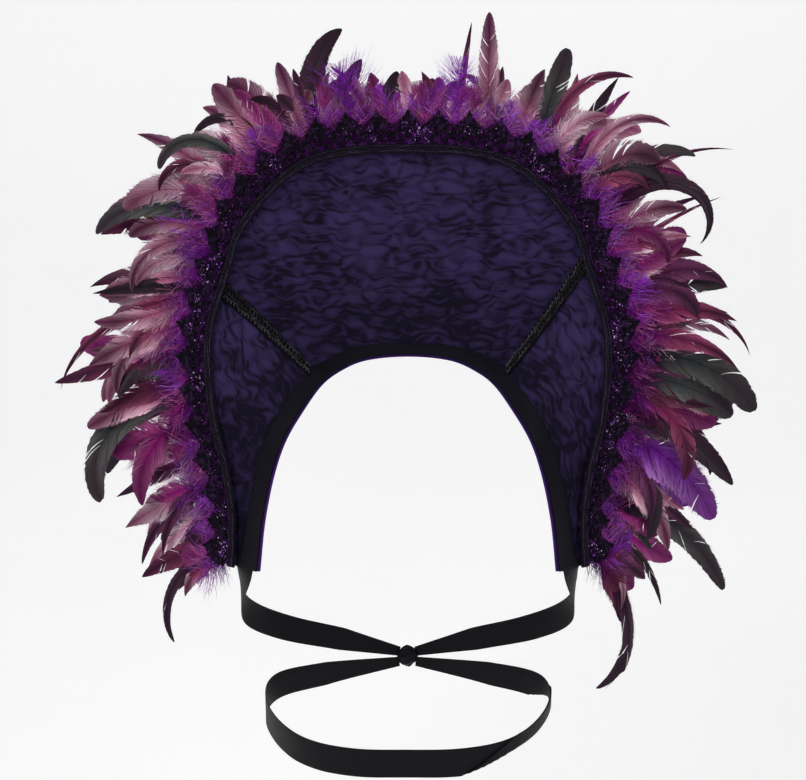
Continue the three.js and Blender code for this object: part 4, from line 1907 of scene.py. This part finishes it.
@dataclass
class FeatherFringe:
    """The fringe: standing feathers, a middle row, down and a backing, on a sewn tape."""

    tape_edges: Pair = (4.0, 15.0)
    seed: int = 41
    fullness: float = 1.2
    downy_kind: float = 0.6
    standing_reach: float = 0.98
    standing_split: float = 0.11
    blunt_tip: float = 0.66
    habit_span: float = 38.0

    def habit(self, along: Array) -> tuple[Array, Array]:
        """Usual lean and curl of the fringe at a place, from the standing feathers nearby.

        Args:
            along: Distances along the rim line from centre back.

        Returns:
            Leans and curls.
        """
        rows = np.array([row[:6] for row in STANDING], float)
        near = np.exp(-(((along[:, None] - rows[:, 0]) / self.habit_span) ** 2))
        near /= near.sum(1, keepdims=True)
        return near @ rows[:, 3], near @ rows[:, 4]

    def standing(self) -> list[Feather]:
        """The long feathers, blunt over the crown and at the fronts.

        Returns:
            The feathers.
        """
        made = []
        for number, (along, reach, breadth, *rest) in enumerate(STANDING):
            build = {"shade": 1 + number % 2, "split": self.standing_split}
            if -180 < along < 150 or abs(along) > 320:
                build["tip"] = self.blunt_tip
            if rest[-1].value.fluff >= self.downy_kind:
                build |= {"webbed": False, "pitch": 0.45, "hair": 0.5}
            made.append(Feather(along, reach * self.standing_reach, breadth * self.fullness, *rest, **build))
        return made

    @staticmethod
    def tall(along: Array) -> Array:
        """Height of the middle row, which is short at centre back and at the two ends."""
        tall = mix(60.0, 112.0, smooth(20.0, 210.0, np.abs(along + 10.0)))
        return tall + 20.0 * smooth(340.0, 430.0, np.abs(along)) - 56.0 * smooth(460.0, 520.0, np.abs(along))

    def sown(self, row: Row) -> list[Feather]:
        """Sows a row of feathers along the rim.

        Args:
            row: The row.

        Returns:
            The feathers.
        """
        random = np.random.default_rng(self.seed + row.seed)
        along = ((np.arange(row.number) + 0.5) / row.number - 0.5) * FAN.length
        end = FAN.length / 2 - 4.0
        along = np.clip(along + random.normal(0.0, row.unevenness, row.number), -end, end)
        lean, curl = self.habit(along)
        tall = self.tall(along) if row.shaped else np.ones(row.number)
        picked = random.choice(len(row.kinds), row.number, p=row.chances)
        made = []
        for i in range(row.number):
            reach = tall[i] * random.uniform(*row.reach)
            breadth = min(random.uniform(*row.breadth), reach * row.slim)
            turn = lean[i] * row.lean[0] + random.normal(0.0, row.lean[1])
            bend = curl[i] * row.curl[0] + (random.normal(0.0, row.curl[1]) if row.curl[1] else 0.0)
            sizes = (along[i], reach, breadth, turn, bend, random.uniform(*row.lift))
            shade = random.integers(0, row.shades)
            own = {name: random.uniform(*span) for name, span in row.ranges.items()}
            made.append(Feather(*sizes, row.kinds[picked[i]], shade, **own, **row.build))
        return made

    def build(self, material: bpy.types.Material) -> list[bpy.types.Object]:
        """Builds the fringe, each row in a left and a right half.

        Args:
            material: Its material.

        Returns:
            The pieces.
        """
        random = np.random.default_rng(self.seed + 2)
        pieces = []
        rows = {
            "long": self.standing(),
            "middle": self.sown(MIDDLE_ROW),
            "down": self.sown(DOWN_ROW) + self.sown(BACKING_ROW),
        }
        for row, feathers in rows.items():
            for half in ("left", "right"):
                bundle = StrandMesh()
                for feather in feathers:
                    if (feather.along < 0) == (half == "left"):
                        FeatherWork(feather, bundle, random).lay()
                made = bundle.mesh(f"{row}_feathers_{half}")
                pieces.append(show(made, material, "feathers", "feather_fringe"))
        return pieces

    def tape(self, material: bpy.types.Material) -> bpy.types.Object:
        """Builds the tape that the feathers are sewn to.

        Args:
            material: Its material.

        Returns:
            The piece.
        """
        band = slab("fringe_tape", 260, 6)
        rib = FAN.rib_at((band.along - 0.5) * FAN.length)
        out = mix(*self.tape_edges, band.across) + 0.3 * np.sin(band.along * 900.0)
        lift = 0.6 + band.through * (0.5 + 0.2 * cloudy(band.along * 120.0, band.across * 2.0, 5))
        band.bend(FAN.on(rib, out, lift), (FAN.length * MM, 0.011))
        piece = show(band.mesh, material, "feathers", "feather_fringe")
        return piece


# Ribbons


@dataclass(frozen=True)
class Stop:
    """A place on a ribbon's route, its width there and the way it faces, in degrees round from +X."""

    place: str
    x: float
    y: float
    z: float
    width: float
    facing: float

    def mirrored(self) -> Stop:
        """The same place on the other side."""
        return Stop(self.place, -self.x, self.y, self.z, self.width, -180.0 - self.facing)


TIE_ROUTE = (
    Stop("sewn_end", 152.6, -33, -157, 20, -57),
    Stop("below_corner", 156.6, -29, -182, 22, -45),
    Stop("under_arm", 162, 2, -215, 24, -5),
    Stop("side", 157, 46, -249, 26, 18),
    Stop("shoulder_blade", 124, 90, -280, 26, 48),
    Stop("back", 68, 114, -301, 24, 72),
    Stop("knot", 8.4, 121, -317, 10, 88),
)
WAIST_ROUTE = (
    Stop("front", 0, -106, -345, 28, -90),
    Stop("front_side", 52, -98, -347, 28, -68),
    Stop("front_turn", 95, -73, -348, 28, -45),
    Stop("side_front", 125, -32, -345, 28, -22),
    Stop("side", 141, 20, -338, 28, 0),
    Stop("side_back", 132, 68, -335, 28, 30),
    Stop("back", 84, 104, -335, 25, 64),
    Stop("knot", 8.4, 121, -328, 10, 86),
)


@dataclass
class Ribbon:
    """A satin ribbon along a route, with a selvedge and soft waves."""

    node: str
    route: Sequence[Stop]
    steps: int
    flat: Pair
    seed: int
    area: float
    thickness: float = 0.6
    selvedge: float = 0.16
    fold_gap: float = 1.3
    wave: float = 0.5
    wave_length: float = 23.0
    fold: tuple[float, float, float, float] | None = None

    def crease(self, along: Array) -> Array:
        """Height of the lengthwise fold, as a share of the width from the middle.

        Args:
            along: Shares of the length.

        Returns:
            The heights, below the lower edge at -0.5 where the ribbon lies open.
        """
        lie_open = -0.6
        if self.fold is None:
            return np.full(along.shape, lie_open)
        start, full, ease, end = self.fold
        return lie_open + 0.62 * smooth(start, full, along) * (1.0 - smooth(ease, end, along))

    def build(self, material: bpy.types.Material) -> bpy.types.Object:
        """Builds the ribbon.

        Args:
            material: Its material.

        Returns:
            The piece.
        """
        band = slab(self.node + "_satin", self.steps, 14)
        samples = 1201
        stops = np.array([[stop.x, stop.y, stop.z] for stop in self.route], float)
        line = through_points(stops, samples)
        heading = unit(np.gradient(line, axis=0))
        spread = np.linspace(0.0, 1.0, samples)
        knots = np.linspace(0.0, 1.0, len(self.route))
        width = np.interp(spread, knots, [stop.width for stop in self.route])
        facing = np.radians(np.interp(spread, knots, [stop.facing for stop in self.route]))
        outward = np.stack([np.cos(facing), np.sin(facing), np.zeros(samples)], -1)
        breadth = unit(np.cross(outward, heading))
        face = np.cross(heading, breadth)

        def at(values: Array) -> Array:
            """Reads values along the ribbon at the slab's vertices."""
            return np.stack([np.interp(band.along, spread, values[:, k]) for k in range(values.shape[1])], -1)

        crease = self.crease(band.along)
        below = crease - (band.across - 0.5)
        turned = smooth(0.0, 0.06, below)
        across = (crease + np.abs(below))[:, None] * at(width[:, None])
        ends = np.minimum(1.0, 14.0 * np.minimum(band.along, 1.0 - band.along))
        run = band.along * self.flat[0] / MM
        ripple = (cloudy(run / self.wave_length, band.across * 1.2, self.seed) - 0.5) * self.wave * ends
        selvedge = self.selvedge * smooth(0.86, 0.97, np.abs(2 * band.across - 1))
        wall = (band.through - 0.5) * (self.thickness + selvedge) * mix(1.0, -1.0, turned)
        level = wall + ripple + self.fold_gap * turned
        band.bend(at(line) + at(breadth) * across + at(face) * level[:, None], self.flat)
        piece = show(band.mesh, material, "ribbon_satin", self.node)
        return piece


@dataclass
class BackKnot:
    """The flat knot behind the ribs, a wrapped turn of ribbon over the crossing."""

    centre: Point = (0.0, 121.0, -322.0)
    half: Point = (12.6, 7.6, 11.6)
    core: float = 0.86
    crease_depth: float = 0.07
    crease_turns: float = 9.0
    band_rise: float = 0.10
    band_half: float = 0.34

    def build(self, material: bpy.types.Material) -> bpy.types.Object:
        """Builds the knot from a ball that is creased along the ribbon's turns.

        Args:
            material: Its material.

        Returns:
            The piece.
        """
        shape = bmesh.new()
        bmesh.ops.create_uvsphere(shape, u_segments=56, v_segments=36, radius=1.0)
        centre = Vector(self.centre)
        for vert in shape.verts:
            place = vert.co.copy()
            turn = math.atan2(place.x, place.y)
            crease = self.crease_depth * math.sin(self.crease_turns * place.z + 2.0 * math.sin(2.0 * turn))
            band = self.band_rise * math.exp(-((place.x / self.band_half) ** 2))
            grow = self.core + crease * (1.0 - place.x**2) + band
            vert.co = (Vector(h * c for h, c in zip(self.half, place)) * grow + centre) * MM
        made = settled(shape, "back_knot_satin")
        keep_map(made, CLOTH_MAP, np.array([(v.co.x + v.co.y, v.co.z) for v in made.vertices]))
        return show(made, material, "ribbon_satin", "back_knot")


# Studio


@dataclass
class Studio:
    """Pale paper sweep, soft lights and the camera."""

    floor: float = -0.75
    target: Point = (-4.75, 0.0, -9.75)
    elevation: float = 13.5
    distance: float = 2100.0
    focal_pixels: float = 2210.5
    image_width: float = 806.0
    sensor: float = 36.0
    paper_side: float = 6.0
    paper_front: float = 5.0
    paper_back: float = 2.0
    paper_bend: float = 1.2
    paper_rise: float = 4.0
    room_light: float = 0.3

    def camera(self) -> None:
        """Sets the camera at the view of the collar from the front and a little above."""
        data = bpy.data.cameras.new("front_camera")
        data.sensor_width = self.sensor
        data.lens = self.focal_pixels * self.sensor / self.image_width
        data.clip_end = 50.0
        camera = in_scene("front_camera", data)
        rise = math.radians(self.elevation)
        back = Vector((0.0, -math.cos(rise), math.sin(rise)))
        camera.location = (Vector(self.target) + back * self.distance) * MM
        camera.rotation_mode = "QUATERNION"
        camera.rotation_quaternion = (-back).to_track_quat("-Z", "Y")
        bpy.context.scene.camera = camera

    def sweep(self) -> None:
        """Builds the floor and backdrop as one curved sheet of paper."""
        shape = bmesh.new()
        sides = (-self.paper_side, self.paper_side)
        corners = [shape.verts.new((side, -self.paper_front, self.floor)) for side in sides]
        grown = bmesh.ops.extrude_edge_only(shape, edges=[shape.edges.new(corners)])["geom"]
        verts = only(grown, bmesh.types.BMVert)
        bmesh.ops.translate(shape, verts=verts, vec=(0.0, self.paper_front + self.paper_back, 0.0))
        turned = bmesh.ops.spin(
            shape,
            geom=verts + only(grown, bmesh.types.BMEdge),
            cent=(0.0, self.paper_back, self.floor + self.paper_bend),
            axis=(1.0, 0.0, 0.0),
            angle=math.pi / 2,
            steps=24,
        )
        last = only(turned["geom_last"], bmesh.types.BMEdge)
        raised = bmesh.ops.extrude_edge_only(shape, edges=last)["geom"]
        bmesh.ops.translate(shape, verts=only(raised, bmesh.types.BMVert), vec=(0.0, 0.0, self.paper_rise))
        made = settled(shape, "paper_sweep")
        made.materials.append(PaperFinish().material())
        in_scene("paper_sweep", made)

    def lamp(self, name: str, place: Point, size: float, power: float) -> None:
        """Adds one soft square lamp that looks at the collar.

        Args:
            name: The lamp's name.
            place: Its place in metres.
            size: Its side in metres.
            power: Its power in watts.
        """
        data = bpy.data.lights.new(name, "AREA")
        data.shape = "SQUARE"
        data.size = size
        data.energy = power
        lamp = in_scene(name, data)
        lamp.location = place
        lamp.rotation_mode = "QUATERNION"
        lamp.rotation_quaternion = Vector(place).to_track_quat("Z", "Y")

    def build(self) -> None:
        """Builds the studio."""
        scene = bpy.context.scene
        scene.view_settings.view_transform = "Standard"
        world = bpy.data.worlds.new("soft_room")
        world.use_nodes = True
        sockets = world.node_tree.nodes["Background"].inputs
        sockets["Color"].default_value = (1.0, 1.0, 1.0, 1.0)
        sockets["Strength"].default_value = self.room_light
        scene.world = world
        self.sweep()
        self.lamp("key_light", (-1.6, -2.4, 2.0), size=1.6, power=44.0)
        self.lamp("fill_light", (1.9, -2.6, 1.0), size=1.8, power=24.0)
        self.lamp("paper_light", (0.0, 0.2, 2.8), size=2.4, power=24.0)
        self.camera()


@dataclass
class Collar:
    """The whole collar, piece by piece."""

    def panels(self) -> None:
        """Builds the three panels."""
        cloth = SatinLaceFinish().material()
        back = {"seed": 11, "steps": (120, 76), "flat": (0.50, 0.26), "area": 0.072, "shadow": 0.3}
        left = {"seed": 51, "steps": (80, 40), "flat": (0.29, 0.14), "area": 0.0204}
        right = {"seed": 71, "steps": (80, 40), "flat": (0.31, 0.14), "area": 0.022}
        Panel("back_panel", LEFT_SEAM, RIGHT_SEAM, Grain.LEVEL, **back).build(cloth)
        Panel("left_panel", LEFT_FRONT, LEFT_SEAM, Grain.UPRIGHT, **left).build(cloth)
        Panel("right_panel", RIGHT_SEAM, RIGHT_FRONT, Grain.UPRIGHT, **right).build(cloth)

    def trims(self) -> None:
        """Builds the binding, the braids and the lace edging."""
        binding = NeckBinding()
        binding.build(SatinFinish("dark_satin", linear(6, 5, 12), linear(15, 12, 27), 0.38).material())
        steel, mauve, purple = linear(140, 140, 144), linear(140, 122, 168), linear(128, 76, 158)
        cord = ThreadFinish("black_braid", linear(4, 3, 6), linear(13, 10, 18), steel, 0.55, 0.07).material()
        fine_cord = ThreadFinish("fine_braid", linear(8, 6, 11), linear(27, 20, 38), mauve, 0.55, 0.08)
        thread = ThreadFinish("black_lace", linear(6, 3, 9), linear(17, 9, 23), purple, 0.75, 0.06)
        braids = Braids(binding)
        braids.rim(fine_cord.material())
        braids.seam("left_seam_braid", LEFT_SEAM, cord)
        braids.seam("right_seam_braid", RIGHT_SEAM, cord)
        lace = LaceEdging()
        lace.build(thread.material())
        lace.glints(SequinFinish().material())

    def fringe(self) -> None:
        """Builds the feathers and their tape."""
        fringe = FeatherFringe()
        fringe.build(FeatherFinish().material())
        fringe.tape(SatinFinish("violet_tape", linear(84, 22, 118), linear(132, 58, 168), 0.5).material())

    def ribbons(self) -> None:
        """Builds the ties, the waist ribbon and the knot."""
        satin = SatinFinish("ribbon_satin", linear(8, 8, 12), linear(18, 18, 24), 0.36).material()
        mirrored = [stop.mirrored() for stop in TIE_ROUTE]
        waist = [stop.mirrored() for stop in WAIST_ROUTE[:0:-1]] + list(WAIST_ROUTE)
        tie = {"steps": 110, "flat": (0.315, 0.026), "area": 0.0072}
        belt = {"steps": 320, "flat": (0.77, 0.028), "area": 0.0202, "fold": (0.535, 0.67, 0.8, 0.9)}
        Ribbon("left_tie", mirrored, seed=3, **tie).build(satin)
        Ribbon("right_tie", TIE_ROUTE, seed=4, **tie).build(satin)
        Ribbon("waist_ribbon", waist, seed=6, **belt).build(satin)
        BackKnot().build(satin)

    def build(self) -> None:
        """Builds every part of the collar."""
        self.panels()
        self.trims()
        self.fringe()
        self.ribbons()


def main() -> None:
    """Builds the studio and the collar."""
    logging.basicConfig(level=logging.INFO, format="%(name)s: %(message)s")
    Studio().build()
    Collar().build()


if __name__ == "__main__":
    main()
